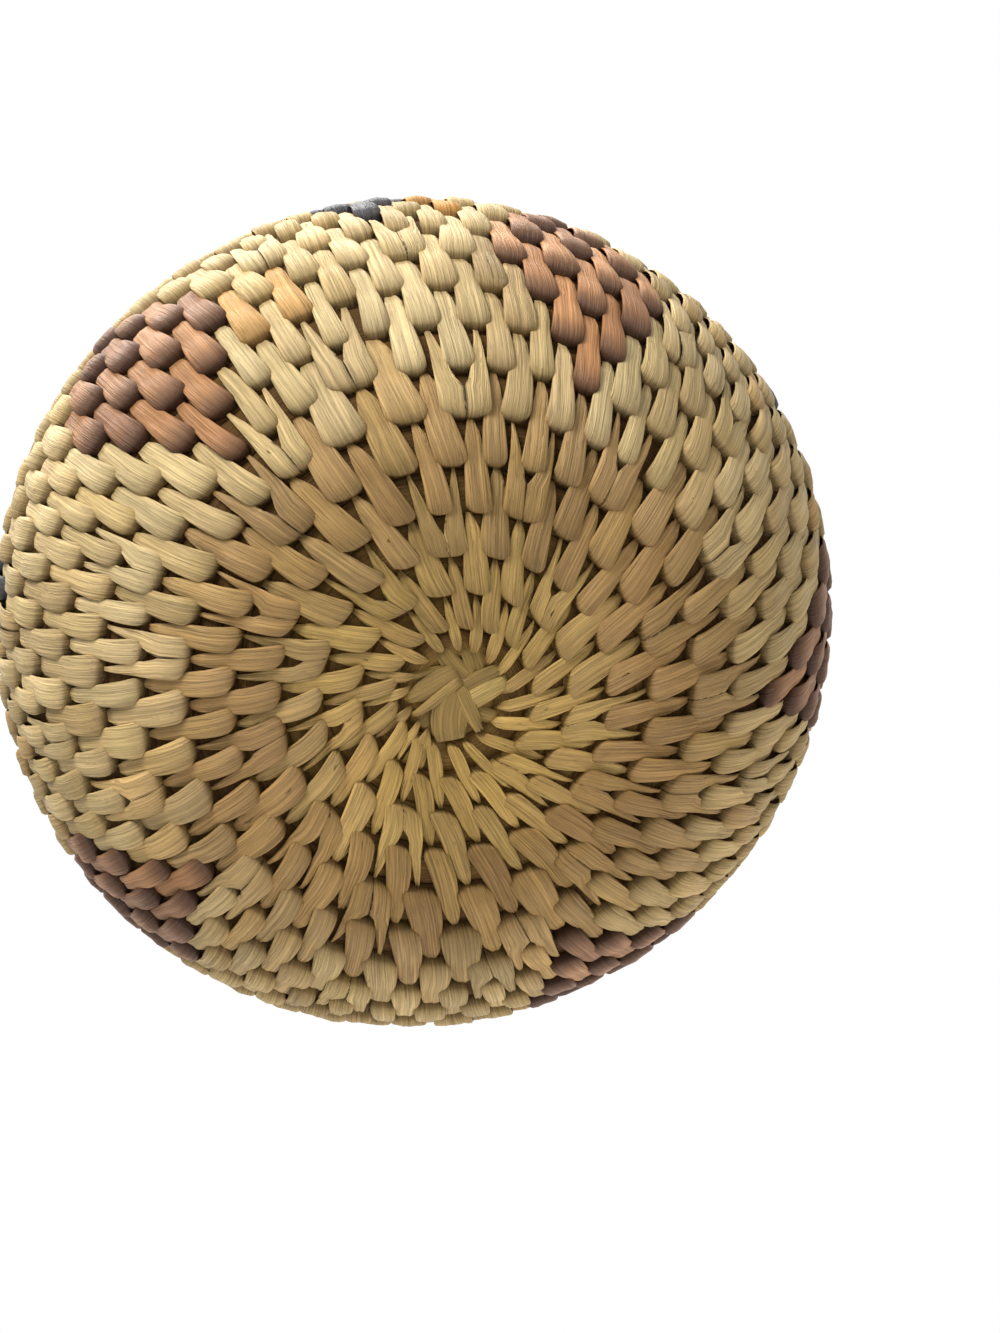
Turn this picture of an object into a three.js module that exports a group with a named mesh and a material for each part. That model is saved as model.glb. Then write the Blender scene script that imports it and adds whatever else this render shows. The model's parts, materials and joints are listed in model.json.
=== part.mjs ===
// A round lidded basket of coiled palm fibre, in millimetres, +Z up.
// It stands on its flat base at z = 0, and the lid's knob is at the top.
//
// The basket is sewn from one bundle of fibre, wound round and round from a small plaited
// knot in the middle of the base. Here each stretch of that bundle is one unbroken tube with
// six sides, which winds from the middle outwards and up the wall. The lid is wound the same
// way from a knot of its own and carries a collar that drops into the mouth, and a coiled knob.

import * as THREE from 'three';

// The body
const bodyDiameter = 160;
const baseFlatDiameter = 57;
const shoulderBend = 46;
const mouthDiameter = 92;
const wallThickness = 6.4;
const standingCut = 0.5;

// The bundle: one round of it is a thin one at the knot and a full one after a few rounds
const firstRoundWidth = 5;
const roundWidth = 8.2;
const roundsToFull = 6;
const roundSlit = 0.62;
const thinnestEnd = 2.4;
const flatShare = 0.56;
const startAngle = 59;
const stepsPerRound = 20;

// Where the body's bundle was spliced, as shares of all its rounds, counted from the knot
const baseShare = 0.253;
const heelShare = 0.404;
const bellyShare = 0.606;
const shoulderShare = 0.808;
const spliceGap = 0.35;

// The plaited knots
const knotRadius = 9.4;
const stripWidth = 3.9;
const stripGap = 0.8;
const stripThickness = 0.9;
const stripClearance = 0.3;
const stripLanding = 0.1;

// The lid
const lidSeatGap = 0.3;
const lidRise = 17;
const lidOverhang = 1.1;
const collarClearance = 1.4;
const collarDepth = 13;

// The knob
const knobDiameter = 24;
const knobBend = 6;
const knobLean = 60;
const knobRoundWidth = 4.6;
const knobThickness = 4;
const knobCoreGap = 0.45;
const knobTip = 1.2;

const bodyRadius = bodyDiameter / 2;
const mouthRadius = mouthDiameter / 2;
const halfWall = wallThickness / 2;
const degrees = Math.PI / 180;

const palm = () => new THREE.MeshStandardMaterial({ color: 0xcdb987, roughness: 0.72, metalness: 0 });
const brownPalm = () => new THREE.MeshStandardMaterial({ color: 0x6e4c36, roughness: 0.75, metalness: 0 });
const blackPalm = () => new THREE.MeshStandardMaterial({ color: 0x30303a, roughness: 0.7, metalness: 0 });
const greenPalm = () => new THREE.MeshStandardMaterial({ color: 0xb5a467, roughness: 0.7, metalness: 0 });

// A wall's middle line, as straight stretches and arcs laid end to end. Each has a length and
// the angle that it turns through. Heading 0 runs outwards and heading 90 degrees runs up.
function middleLine(startR, startZ, startHeading, stretches) {
  return (s) => {
    let r = startR;
    let z = startZ;
    let heading = startHeading;
    let left = s;
    for (const [index, stretch] of stretches.entries()) {
      const last = index === stretches.length - 1;
      const length = last ? left : Math.min(left, stretch.length);
      const turn = stretch.turn * (length / stretch.length);
      if (Math.abs(turn) < 1e-9) {
        r += length * Math.cos(heading);
        z += length * Math.sin(heading);
      } else {
        const radius = length / turn;
        r += radius * (Math.sin(heading + turn) - Math.sin(heading));
        z -= radius * (Math.cos(heading + turn) - Math.cos(heading));
      }
      heading += turn;
      left -= length;
      if (left <= 0) break;
    }
    return { r, z, heading };
  };
}

// How far along the wall the winding has come after a number of rounds
function reach(rounds, first, full, growing) {
  const grown = Math.min(rounds, growing);
  return first * grown + ((full - first) * grown * grown) / (2 * growing) + full * (rounds - grown);
}

// One six-sided section of the bundle in the half plane at an angle. Its outer and inner
// sides are flat, and two corners face the neighbouring rounds.
function section(line, low, high, thickness, slit, angle, floor) {
  const point = line((low + high) / 2);
  const halfWidth = (high - low - slit) / 2;
  const flat = halfWidth * flatShare;
  const half = thickness / 2;
  const along = { r: Math.cos(point.heading), z: Math.sin(point.heading) };
  const out = { r: Math.sin(point.heading), z: -Math.cos(point.heading) };
  const corners = [
    [half, -flat],
    [half, flat],
    [0, halfWidth],
    [-half, flat],
    [-half, -flat],
    [0, -halfWidth],
  ];
  return corners.map(([n, t]) => {
    const r = point.r + n * out.r + t * along.r;
    const z = point.z + n * out.z + t * along.z;
    return new THREE.Vector3(r * Math.cos(angle), r * Math.sin(angle), Math.max(z, floor));
  });
}

// Closes a row of sections into one solid, either end to end or with a cap on each end
function tube(sections, closed) {
  const positions = sections.flat().flatMap((p) => [p.x, p.y, p.z]);
  const sides = sections[0].length;
  const faces = [];
  const spans = closed ? sections.length : sections.length - 1;
  for (let i = 0; i < spans; i++) {
    const here = i * sides;
    const next = ((i + 1) % sections.length) * sides;
    for (let j = 0; j < sides; j++) {
      const k = (j + 1) % sides;
      faces.push(here + j, next + j, next + k, here + j, next + k, here + k);
    }
  }
  if (!closed) {
    const end = (sections.length - 1) * sides;
    for (let j = 1; j < sides - 1; j++) {
      faces.push(0, j, j + 1);
      faces.push(end, end + j + 1, end + j);
    }
  }
  const geometry = new THREE.BufferGeometry();
  geometry.setAttribute('position', new THREE.Float32BufferAttribute(positions, 3));
  geometry.setIndex(faces);
  geometry.computeVertexNormals();
  return geometry;
}

// Moves the end section of a tube a little along the tube, which leaves the gap of a splice
function shorten(sections, end, beside, amount) {
  sections[end] = sections[end].map((p, j) => {
    const step = sections[beside][j].clone().sub(p);
    return p.clone().addScaledVector(step, amount / step.length());
  });
}

// The winding of one wall. Its first and last rounds thin out, so that the wall begins and
// ends level, and it returns the sections with the number of rounds that each lies at.
function winding(wall) {
  const { line, start, end, first, full, growing, thickness, slit, floor } = wall;
  const at = (rounds) => reach(rounds, first, full, growing);
  const sections = [];
  let step = 0;
  let begun = false;
  for (;;) {
    const rounds = step / stepsPerRound;
    const low = Math.max(at(Math.max(rounds - 0.5, 0)), start);
    const high = Math.min(Math.max(at(rounds + 0.5), start), end);
    const wide = high - low - slit;
    if (wide >= thinnestEnd) {
      const whole = at(rounds + 0.5) - at(Math.max(rounds - 0.5, 0)) - slit;
      const depth = thickness * (0.5 + 0.5 * Math.min(1, wide / whole));
      const angle = (startAngle + 360 * rounds) * degrees;
      const corners = section(line, low, high, depth, slit, angle, floor);
      sections.push({ rounds, corners });
      begun = true;
    } else if (begun) {
      return sections;
    }
    step += 1;
  }
}

// The winding cut into stretches where the bundle was spliced
function stretches(sections, splices) {
  const bounds = [-Infinity, ...splices, Infinity];
  return bounds.slice(1).map((to, i) => {
    const from = bounds[i];
    const mine = sections.filter((s) => s.rounds >= from && s.rounds <= to).map((s) => s.corners);
    if (i > 0) shorten(mine, 0, 1, spliceGap / 2);
    if (i < splices.length) shorten(mine, mine.length - 1, mine.length - 2, spliceGap / 2);
    return mine;
  });
}

// A level round of its own, closed on itself, with its corners at the winding's angles
function levelRound(line, low, high) {
  const sections = [];
  for (let step = 0; step < stepsPerRound; step++) {
    const angle = (startAngle + (360 * step) / stepsPerRound) * degrees;
    sections.push(section(line, low, high, wallThickness, roundSlit, angle, 0));
  }
  return tube(sections, true);
}

// The smallest gap between one round of a winding and the next, measured on points along
// the two corners that face each other
function leastGap(name, sections) {
  let least = Infinity;
  for (let i = 0; i + stepsPerRound + 1 < sections.length; i++) {
    const edge = new THREE.Line3(sections[i].corners[2], sections[i + 1].corners[2]);
    const next = sections[i + stepsPerRound].corners;
    const after = sections[i + stepsPerRound + 1].corners;
    for (const share of [0, 0.25, 0.5, 0.75, 1]) {
      for (const corner of [4, 5, 0]) {
        const point = next[corner].clone().lerp(after[corner], share);
        const near = edge.closestPointToPoint(point, true, new THREE.Vector3());
        least = Math.min(least, near.distanceTo(point));
      }
    }
  }
  console.log(`${name}: least gap between rounds ${least.toFixed(2)} mm`);
}

const basket = new THREE.Group();

function add(name, geometry, material, parent) {
  const mesh = new THREE.Mesh(geometry, material);
  mesh.name = name;
  parent.add(mesh);
  return mesh;
}

// The body's middle line: across the flat, up the heel and belly, and in over the shoulder
const lowerBend = bodyRadius - baseFlatDiameter / 2 - halfWall;
const upperBend = shoulderBend - halfWall;
const rimRadius = mouthRadius + halfWall;
const shoulderTurn = Math.acos(1 - (bodyRadius - halfWall - rimRadius) / upperBend);
const toWidest = baseFlatDiameter / 2 + (lowerBend * Math.PI) / 2;
const toRim = toWidest + upperBend * shoulderTurn;
const bodyLine = middleLine(0, halfWall - standingCut, 0, [
  { length: baseFlatDiameter / 2, turn: 0 },
  { length: (lowerBend * Math.PI) / 2, turn: Math.PI / 2 },
  { length: upperBend * Math.PI, turn: Math.PI },
]);

const bodyWinding = winding({
  line: bodyLine,
  start: knotRadius,
  end: toRim - roundWidth / 2,
  first: firstRoundWidth,
  full: roundWidth,
  growing: roundsToFull,
  thickness: wallThickness,
  slit: roundSlit,
  floor: 0,
});
leastGap('body', bodyWinding);

const body = new THREE.Group();
basket.add(body);
const bodyNames = ['base_coil', 'heel_coil', 'belly_coil', 'shoulder_coil', 'neck_coil'];
const allRounds = bodyWinding[bodyWinding.length - 1].rounds;
const spliceShares = [baseShare, heelShare, bellyShare, shoulderShare];
const nearestStep = (rounds) => Math.round(rounds * stepsPerRound) / stepsPerRound;
const bodySplices = spliceShares.map((share) => nearestStep(share * allRounds));
console.log(`body: ${allRounds.toFixed(2)} rounds, spliced after ${bodySplices.join(', ')}`);
const bodyStretches = stretches(bodyWinding, bodySplices);
bodyNames.forEach((name, i) => add(name, tube(bodyStretches[i], false), palm(), body));
const rimLow = toRim - roundWidth / 2;
const rimHigh = toRim + roundWidth / 2;
add('mouth_rim_round', levelRound(bodyLine, rimLow, rimHigh), blackPalm(), body);

// A flat palm strip of a knot, which passes over and under the three strips that cross it.
// It is drawn from the side and given its width, and it ends against the first round.
const stripPitch = stripWidth + stripGap;
const stripLift = stripThickness + stripClearance;

function stripSide(row, liftedFirst) {
  const offset = Math.abs(row) * stripPitch + stripWidth / 2;
  const end = Math.sqrt(knotRadius * knotRadius - offset * offset);
  const under = [];
  for (const column of [-1, 0, 1]) {
    const lifted = (row + column + (liftedFirst ? 1 : 0)) % 2 !== 0;
    const reachOut = stripWidth / 2 + stripLanding;
    const from = column === -1 ? -end : column * stripPitch - reachOut;
    const to = column === 1 ? end : column * stripPitch + reachOut;
    const z = lifted ? stripLift : 0;
    under.push([from, z], [to, z]);
  }
  const outline = new THREE.Shape();
  under.forEach(([x, z], i) => (i === 0 ? outline.moveTo(x, z) : outline.lineTo(x, z)));
  [...under].reverse().forEach(([x, z]) => outline.lineTo(x, z + stripThickness));
  outline.closePath();
  return outline;
}

function plaitedKnot(prefix, parent) {
  const names = ['left', 'middle', 'right'];
  for (const [direction, turn] of [['long', 0], ['cross', 90]]) {
    for (const row of [-1, 0, 1]) {
      const side = stripSide(row, direction === 'cross');
      const geometry = new THREE.ExtrudeGeometry(side, { depth: stripWidth, bevelEnabled: false });
      geometry.translate(0, 0, -stripWidth / 2);
      geometry.rotateX(Math.PI / 2);
      const mesh = add(`${prefix}_${direction}_strip_${names[row + 1]}`, geometry, greenPalm(), parent);
      const away = row * stripPitch;
      const angle = (startAngle + turn) * degrees;
      mesh.rotation.z = angle;
      mesh.position.set(-away * Math.sin(angle), away * Math.cos(angle), 0);
    }
  }
}

const bodyKnot = new THREE.Group();
body.add(bodyKnot);
plaitedKnot('base_knot', bodyKnot);

// The lid rests on the rim round. Its dome ends in a level round a little wider than the rim.
const rimPoint = bodyLine(toRim);
const rimCorners = section(bodyLine, rimLow, rimHigh, wallThickness, roundSlit, 0, 0);
const rimTop = Math.max(...rimCorners.map((p) => p.z));

const lidEdgeRadius = rimPoint.r + lidOverhang;
const lidBend = (lidEdgeRadius * lidEdgeRadius + lidRise * lidRise) / (2 * lidRise);
const lidTurn = Math.asin(lidEdgeRadius / lidBend);
const lidLength = lidBend * lidTurn;
const edgeFlat = ((roundWidth - roundSlit) / 2) * flatShare;
const lidEdgeDip = halfWall * Math.cos(lidTurn) + edgeFlat * Math.sin(lidTurn);
const lidFloor = rimTop + lidSeatGap;
const lidEdgeZ = lidFloor + lidEdgeDip;

// The dome's middle line runs from the knot outwards and down, so its outer side is above.
// It is drawn upside down with the base's line, then turned over by the sign of z.
const domeLine = middleLine(0, 0, 0, [{ length: lidLength, turn: lidTurn }]);

function turnedOver(line, top) {
  return (s) => {
    const point = line(s);
    return { r: point.r, z: top - point.z, heading: -point.heading };
  };
}

const lidLine = turnedOver(domeLine, lidEdgeZ + lidRise);

const lid = new THREE.Group();
basket.add(lid);
const lidWinding = winding({
  line: lidLine,
  start: knotRadius,
  end: lidLength - roundWidth / 2,
  first: firstRoundWidth,
  full: roundWidth,
  growing: roundsToFull,
  thickness: wallThickness,
  slit: roundSlit,
  floor: 0,
});
leastGap('lid', lidWinding);
add('lid_coil', tube(lidWinding.map((s) => s.corners), false), palm(), lid);
const edgeInner = lidLength - roundWidth / 2;
const edgeOuter = lidLength + roundWidth / 2;
add('lid_edge_round', levelRound(lidLine, edgeInner, edgeOuter), palm(), lid);

// The collar drops into the mouth with room all round. It hangs from the dome, so it is moved
// up until its upper corners are one seat gap below the dome's inner side.
const collarRadius = mouthRadius - collarClearance - halfWall;
const apexZ = lidEdgeZ + lidRise;
const underside = (r) => apexZ - lidBend + Math.sqrt((lidBend - halfWall) ** 2 - r ** 2);
const collarLine = middleLine(collarRadius, 0, Math.PI / 2, [{ length: collarDepth, turn: 0 }]);
const collarWinding = winding({
  line: collarLine,
  start: 0,
  end: collarDepth,
  first: roundWidth,
  full: roundWidth,
  growing: roundsToFull,
  thickness: wallThickness,
  slit: roundSlit,
  floor: 0,
});
leastGap('collar', collarWinding);
const collarCorners = collarWinding.flatMap((s) => s.corners);
const collar = new THREE.Group();
const collarRooms = collarCorners.map((p) => underside(Math.hypot(p.x, p.y)) - p.z);
collar.position.z = Math.min(...collarRooms) - lidSeatGap;
lid.add(collar);
add('lid_collar_coil', tube(collarWinding.map((s) => s.corners), false), palm(), collar);

// The lid's own knot lies flush with the top of the dome
const lidKnot = new THREE.Group();
const knotHeight = stripLift + stripThickness;
lidKnot.position.z = apexZ + halfWall - knotHeight;
lid.add(lidKnot);
plaitedKnot('lid_knot', lidKnot);

// The knob is a thinner bundle wound round a plug. Its middle line leans out from the lid and
// turns in over the top, and the plug fills it and shows in the hole at the top.
const knobHalf = knobThickness / 2;
const knobWidest = knobDiameter / 2 - knobHalf;
const knobStart = knobWidest - knobBend * (1 - Math.sin(knobLean * degrees));
const knobTurn = Math.PI - knobLean * degrees;
const knobCentre = { r: knobWidest - knobBend, z: knobBend * Math.cos(knobLean * degrees) };
const knobLength = knobBend * knobTurn;
const knobLine = middleLine(knobStart, 0, knobLean * degrees, [
  { length: knobLength, turn: knobTurn },
]);
const knobWinding = winding({
  line: knobLine,
  start: 0,
  end: knobLength,
  first: knobRoundWidth,
  full: knobRoundWidth,
  growing: roundsToFull,
  thickness: knobThickness,
  slit: roundSlit,
  floor: -Infinity,
});
leastGap('knob', knobWinding);
const knobBottom = Math.min(...knobWinding.flatMap((s) => s.corners.map((p) => p.z)));
const knob = new THREE.Group();
knob.position.z = apexZ + halfWall + lidSeatGap - knobBottom;
lid.add(knob);
add('knob_coil', tube(knobWinding.map((s) => s.corners), false), palm(), knob);

// The plug keeps one clearance from the inside of the wound bundle
function plugOutline() {
  const inside = knobBend - knobHalf - knobCoreGap;
  const bulge = [];
  for (const share of [0, 0.5, 1]) {
    const angle = knobLean * degrees - Math.PI / 2 + share * knobTurn * 0.75;
    const r = knobCentre.r + inside * Math.cos(angle);
    const z = knobCentre.z + inside * Math.sin(angle);
    bulge.push(new THREE.Vector2(r, z));
  }
  const neck = knobCentre.r - knobCoreGap;
  const top = knobCentre.z + knobBend + knobHalf;
  return [
    new THREE.Vector2(0, knobBottom),
    new THREE.Vector2(bulge[0].x - knobCoreGap, knobBottom),
    ...bulge,
    new THREE.Vector2(neck, knobCentre.z + inside),
    new THREE.Vector2(neck, top),
    new THREE.Vector2(neck / 2, top + knobTip * 0.8),
    new THREE.Vector2(0, top + knobTip),
  ];
}

const plug = new THREE.LatheGeometry(plugOutline(), stepsPerRound, (startAngle + 90) * degrees);
plug.rotateX(Math.PI / 2);
add('knob_plug', plug, brownPalm(), knob);

export default basket;
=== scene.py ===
# %% [markdown]
# # A lidded basket of coiled palm leaf
# The basket is one long bundle of fibre, wound round and round and sewn with strips of palm
# leaf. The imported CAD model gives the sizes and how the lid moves. This lesson dresses it:
# each winding gets its bundle and, above all, its hundreds of separate leaf stitches.
# Lengths are worked out in millimetres and turned into metres when a mesh is made.

# %% Load the frame
import json
import math

import bpy
import numpy as np
from mathutils import Matrix, Vector

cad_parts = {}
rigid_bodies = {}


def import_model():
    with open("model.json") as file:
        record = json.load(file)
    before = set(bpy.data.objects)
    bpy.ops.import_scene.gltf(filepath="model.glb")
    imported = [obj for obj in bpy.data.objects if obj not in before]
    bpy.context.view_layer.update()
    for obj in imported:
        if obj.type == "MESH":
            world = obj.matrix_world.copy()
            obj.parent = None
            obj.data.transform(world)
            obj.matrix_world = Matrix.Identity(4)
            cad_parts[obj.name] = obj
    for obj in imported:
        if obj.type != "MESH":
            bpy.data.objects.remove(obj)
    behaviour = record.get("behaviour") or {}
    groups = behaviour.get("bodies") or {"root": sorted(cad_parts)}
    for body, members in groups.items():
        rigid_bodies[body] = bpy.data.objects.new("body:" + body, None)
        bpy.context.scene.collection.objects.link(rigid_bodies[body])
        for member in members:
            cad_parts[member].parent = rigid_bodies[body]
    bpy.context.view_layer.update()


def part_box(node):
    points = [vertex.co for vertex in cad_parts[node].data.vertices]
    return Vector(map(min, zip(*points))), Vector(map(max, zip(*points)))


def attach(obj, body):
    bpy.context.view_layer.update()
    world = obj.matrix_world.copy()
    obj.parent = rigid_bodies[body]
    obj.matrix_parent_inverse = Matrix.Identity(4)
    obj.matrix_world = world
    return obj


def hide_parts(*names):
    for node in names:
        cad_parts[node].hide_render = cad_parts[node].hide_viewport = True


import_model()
MM = 0.001

# %% [markdown]
# ## The walls as lines
# A coiled basket is a surface of revolution, so each wall is a line drawn once from the side.
# It is made of straight stretches and arcs laid end to end, the same ones as in the CAD model.
# For a distance along it, the line gives the radius, the height and the heading there.

# %% Middle lines
BODY_RADIUS = 80.0
FLAT_RADIUS = 28.5
HALF_WALL = 3.2
SHOULDER_BEND = 42.8
RIM_RADIUS = 49.2
LOWER_BEND = BODY_RADIUS - FLAT_RADIUS - HALF_WALL
FLAT_HEIGHT = 2.7
SEWING_LIFT = 0.4
LIFTED_TO = 20
LEVEL_FROM = 60


def smooth(x):
    """A ramp from 0 to 1 with soft ends."""
    x = np.clip(x, 0, 1)
    return x * x * (3 - 2 * x)


def middle_line(start_r, start_z, start_heading, stretches):
    """A line as (length, turn in radians) stretches, as a function of the distance along it."""

    def at(s):
        left = np.array(s, float)
        r = np.full(left.shape, float(start_r))
        z = np.full(left.shape, float(start_z))
        heading = np.full(left.shape, float(start_heading))
        for number, (length, turn) in enumerate(stretches):
            last = number == len(stretches) - 1
            step = left if last else np.minimum(left, length)
            if turn == 0:
                r = r + step * np.cos(heading)
                z = z + step * np.sin(heading)
            else:
                radius = length / turn
                bend = step / radius
                r = r + radius * (np.sin(heading + bend) - np.sin(heading))
                z = z - radius * (np.cos(heading + bend) - np.cos(heading))
                heading = heading + bend
            left = left - step
        return r, z, heading

    return at


def raised_middle(line):
    """The same line with its flat middle lifted a little, so that the sewing can rest on z = 0."""

    def at(s):
        r, z, heading = line(s)
        share = (np.asarray(s, float) - LIFTED_TO) / (LEVEL_FROM - LIFTED_TO)
        return r, z + SEWING_LIFT * (1 - smooth(share)), heading

    return at


def turned_over(line, top):
    """The same line turned upside down below a top height."""

    def at(s):
        r, z, heading = line(s)
        return r, top - z, -heading

    return at


quarter_circle = middle_line(0, 0, 0, [(5 * math.pi, math.pi / 2)])
print("a quarter circle of 10 mm ends at", np.round(quarter_circle(5 * math.pi)[:2], 2))

# %% Lines of the body and the lid
HEEL_LENGTH = LOWER_BEND * math.pi / 2
SHOULDER_TURN = math.acos(1 - (BODY_RADIUS - HALF_WALL - RIM_RADIUS) / SHOULDER_BEND)
TO_RIM = FLAT_RADIUS + HEEL_LENGTH + SHOULDER_BEND * SHOULDER_TURN
body_arcs = [(HEEL_LENGTH, math.pi / 2), (SHOULDER_BEND * math.pi, math.pi)]
body_line = raised_middle(middle_line(0, FLAT_HEIGHT, 0, [(FLAT_RADIUS, 0), *body_arcs]))

LID_RISE = 17.0
LID_OVERHANG = 1.1
LID_EDGE_RADIUS = RIM_RADIUS + LID_OVERHANG
LID_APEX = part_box("lid_knot_long_strip_left")[1].z / MM - HALF_WALL
LID_BEND = (LID_EDGE_RADIUS**2 + LID_RISE**2) / (2 * LID_RISE)
LID_TURN = math.asin(LID_EDGE_RADIUS / LID_BEND)
LID_LENGTH = LID_BEND * LID_TURN
lid_line = turned_over(middle_line(0, 0, 0, [(LID_LENGTH, LID_TURN)]), LID_APEX)
print("rim at", round(TO_RIM, 1), "mm along the wall, lid edge at", round(LID_LENGTH, 1), "mm")

# %% [markdown]
# ## The rows
# The bundle winds outwards from a knot. Its first round is thin and it is full after six, so
# the distance along the wall grows slowly at first. Every place on the basket is then given by
# a number of rounds, and the groove between two rounds is half a round further on.

# %% Rows and places
FIRST_ROUND = 5.0
FULL_ROUND = 8.2
ROUNDS_TO_FULL = 6.0
START_TURN = 59.0 / 360.0
KNOT_RADIUS = 9.4
SOFT_FLOOR = 0.3
MOST_ROUNDS = 24
STEPS_IN_ROUND = 200


def reach(rounds):
    """How far along the wall the winding has come after a number of rounds."""
    grown = np.minimum(rounds, ROUNDS_TO_FULL)
    growth = (FULL_ROUND - FIRST_ROUND) * grown * grown / (2 * ROUNDS_TO_FULL)
    return FIRST_ROUND * grown + growth + FULL_ROUND * (rounds - grown)


class Wall:
    """A wall that is sewn: its line, its winding, which side faces out, and where it ends.

    The floor is a height that no point goes below, and the row is the width of a full round.
    """

    def __init__(self, line, reach_at, face, start, end, floor=None, row=FULL_ROUND):
        self.line = line
        self.reach = reach_at
        self.face = face
        self.start = start
        self.end = end
        self.floor = floor
        self.row = row
        self.knotted = start > 0

    def place(self, s, height, turns):
        """Points at distance s, at a height over the middle of the wall, after some turns."""
        r, z, heading = self.line(s)
        out = height * self.face
        r = r + out * np.sin(heading)
        z = z - out * np.cos(heading)
        if self.floor is not None:
            above = z - self.floor
            z = self.floor + (above + np.sqrt(above * above + SOFT_FLOOR**2)) / 2
        angle = 2 * math.pi * (turns + START_TURN)
        return np.stack([r * np.cos(angle), r * np.sin(angle), z], axis=-1)

    def radius(self, s):
        return self.line(s)[0]

    def last_round(self):
        """The number of rounds at which the winding has filled the wall."""
        rounds = np.linspace(0, MOST_ROUNDS, MOST_ROUNDS * STEPS_IN_ROUND + 1)
        return 0.5 + float(rounds[np.argmax(self.reach(rounds) >= self.end)])


body_wall = Wall(body_line, reach, 1, KNOT_RADIUS, TO_RIM - FULL_ROUND / 2, floor=0.0)
lid_wall = Wall(lid_line, reach, -1, KNOT_RADIUS, LID_LENGTH - FULL_ROUND / 2)
print("rounds:", round(body_wall.last_round(), 2), "and", round(lid_wall.last_round(), 2))

# %% [markdown]
# ## Meshes from rings
# A stitch and a bundle are both long closed tubes: rows of points that go round, joined to the
# next row. One helper turns a whole stack of such tubes into one mesh. It also stores two
# things at each point: its place on the leaf strip, and its colour, which holds painted shade
# where the leaf is hidden and painted light in places. The materials read these, so each strip
# can differ while all share one.

# %% Rings into a mesh
rng = np.random.default_rng(2168)


def linear(red, green, blue):
    """A colour as it is picked on a screen, 0 to 255, as the numbers that a shader wants."""
    c = np.array([red, green, blue], float) / 255
    return np.where(c <= 0.04045, c / 12.92, ((c + 0.055) / 1.055) ** 2.4)


def ring_faces(count, rows, around, closed):
    """Quads between neighbouring rings, and a cap on each end of an open tube."""
    index = np.arange(count * rows * around).reshape(count, rows, around)
    low = index if closed else index[:, :-1]
    high = np.roll(index, -1, axis=1) if closed else index[:, 1:]
    sides = [low, high, np.roll(high, -1, axis=2), np.roll(low, -1, axis=2)]
    quads = np.stack(sides, axis=-1).reshape(-1, 4)
    if closed:
        return quads, np.zeros((0, around), int)
    caps = np.concatenate([index[:, 0, :], index[:, -1, ::-1]])
    return quads, caps


def point_outwards(mesh):
    """Turns the faces round if the mesh's volume comes out negative."""
    mesh.calc_loop_triangles()
    corner = np.zeros(len(mesh.loop_triangles) * 3, np.int32)
    mesh.loop_triangles.foreach_get("vertices", corner)
    points = np.zeros(len(mesh.vertices) * 3, np.float32)
    mesh.vertices.foreach_get("co", points)
    a, b, c = points.reshape(-1, 3)[corner.reshape(-1, 3)].astype(float).transpose(1, 0, 2)
    if np.einsum("ij,ij->i", a, np.cross(b, c)).sum() < 0:
        mesh.flip_normals()


def add_object(name, data):
    thing = bpy.data.objects.new(name, data)
    bpy.context.scene.collection.objects.link(thing)
    return thing


def make_piece(name, rings, leaf, dye, closed=False):
    """A mesh object of closed tubes. rings is (tubes, rows, points round, 3), in millimetres."""
    count, rows, around, _ = rings.shape
    quads, caps = ring_faces(count, rows, around, closed)
    corners = np.concatenate([quads.ravel(), caps.ravel()])
    cap_starts = len(quads) * 4 + np.arange(len(caps)) * around
    starts = np.concatenate([np.arange(len(quads)) * 4, cap_starts])
    mesh = bpy.data.meshes.new(name)
    mesh.vertices.add(count * rows * around)
    mesh.vertices.foreach_set("co", (rings * MM).astype(np.float32).ravel())
    mesh.loops.add(len(corners))
    mesh.loops.foreach_set("vertex_index", corners.astype(np.int32))
    mesh.polygons.add(len(starts))
    mesh.polygons.foreach_set("loop_start", starts.astype(np.int32))
    mesh.update(calc_edges=True)
    mesh.validate()
    mesh.polygons.foreach_set("use_smooth", np.ones(len(mesh.polygons), bool))
    place = mesh.attributes.new("leaf_place", "FLOAT_VECTOR", "POINT")
    place.data.foreach_set("vector", leaf.astype(np.float32).ravel())
    colour = mesh.attributes.new("leaf_colour_and_shade", "FLOAT_COLOR", "POINT")
    dye_and_alpha = np.concatenate([dye, np.ones(dye.shape[:-1] + (1,))], -1)
    colour.data.foreach_set("color", dye_and_alpha.astype(np.float32).ravel())
    mesh.update()
    piece = add_object(name, mesh)
    point_outwards(mesh)
    return piece


print("the leaf colours are linear, for example", np.round(linear(214, 196, 142), 3))

# %% [markdown]
# ## How close the stitches stand, and how they lean
# Near the knot the stitches are close together and lean the most. Further out they are wider
# apart and more upright. Where a dyed diamond will go, the sewer keeps to one stitch over
# each gap, so that the pattern comes out even.

# %% Spacing, lean and the places of the patterns
SPACING_ROUNDS = [1.2, 3.0, 4.2, 5.3, 6.3, 7.3, 8.3, 9.3, 11.0, 20.0]
SPACINGS = [3.1, 4.5, 5.6, 6.3, 6.7, 6.8, 7.0, 7.6, 8.1, 8.3]
LEAN_ROUNDS = [1.5, 2.5, 3.5, 4.5, 5.5, 7.0, 9.0]
LEANS = [12, 14, 15, 13, 11, 8, 6.5]
UPRIGHT_SIDE = -98
UPRIGHT_WIDTH = 38

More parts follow.
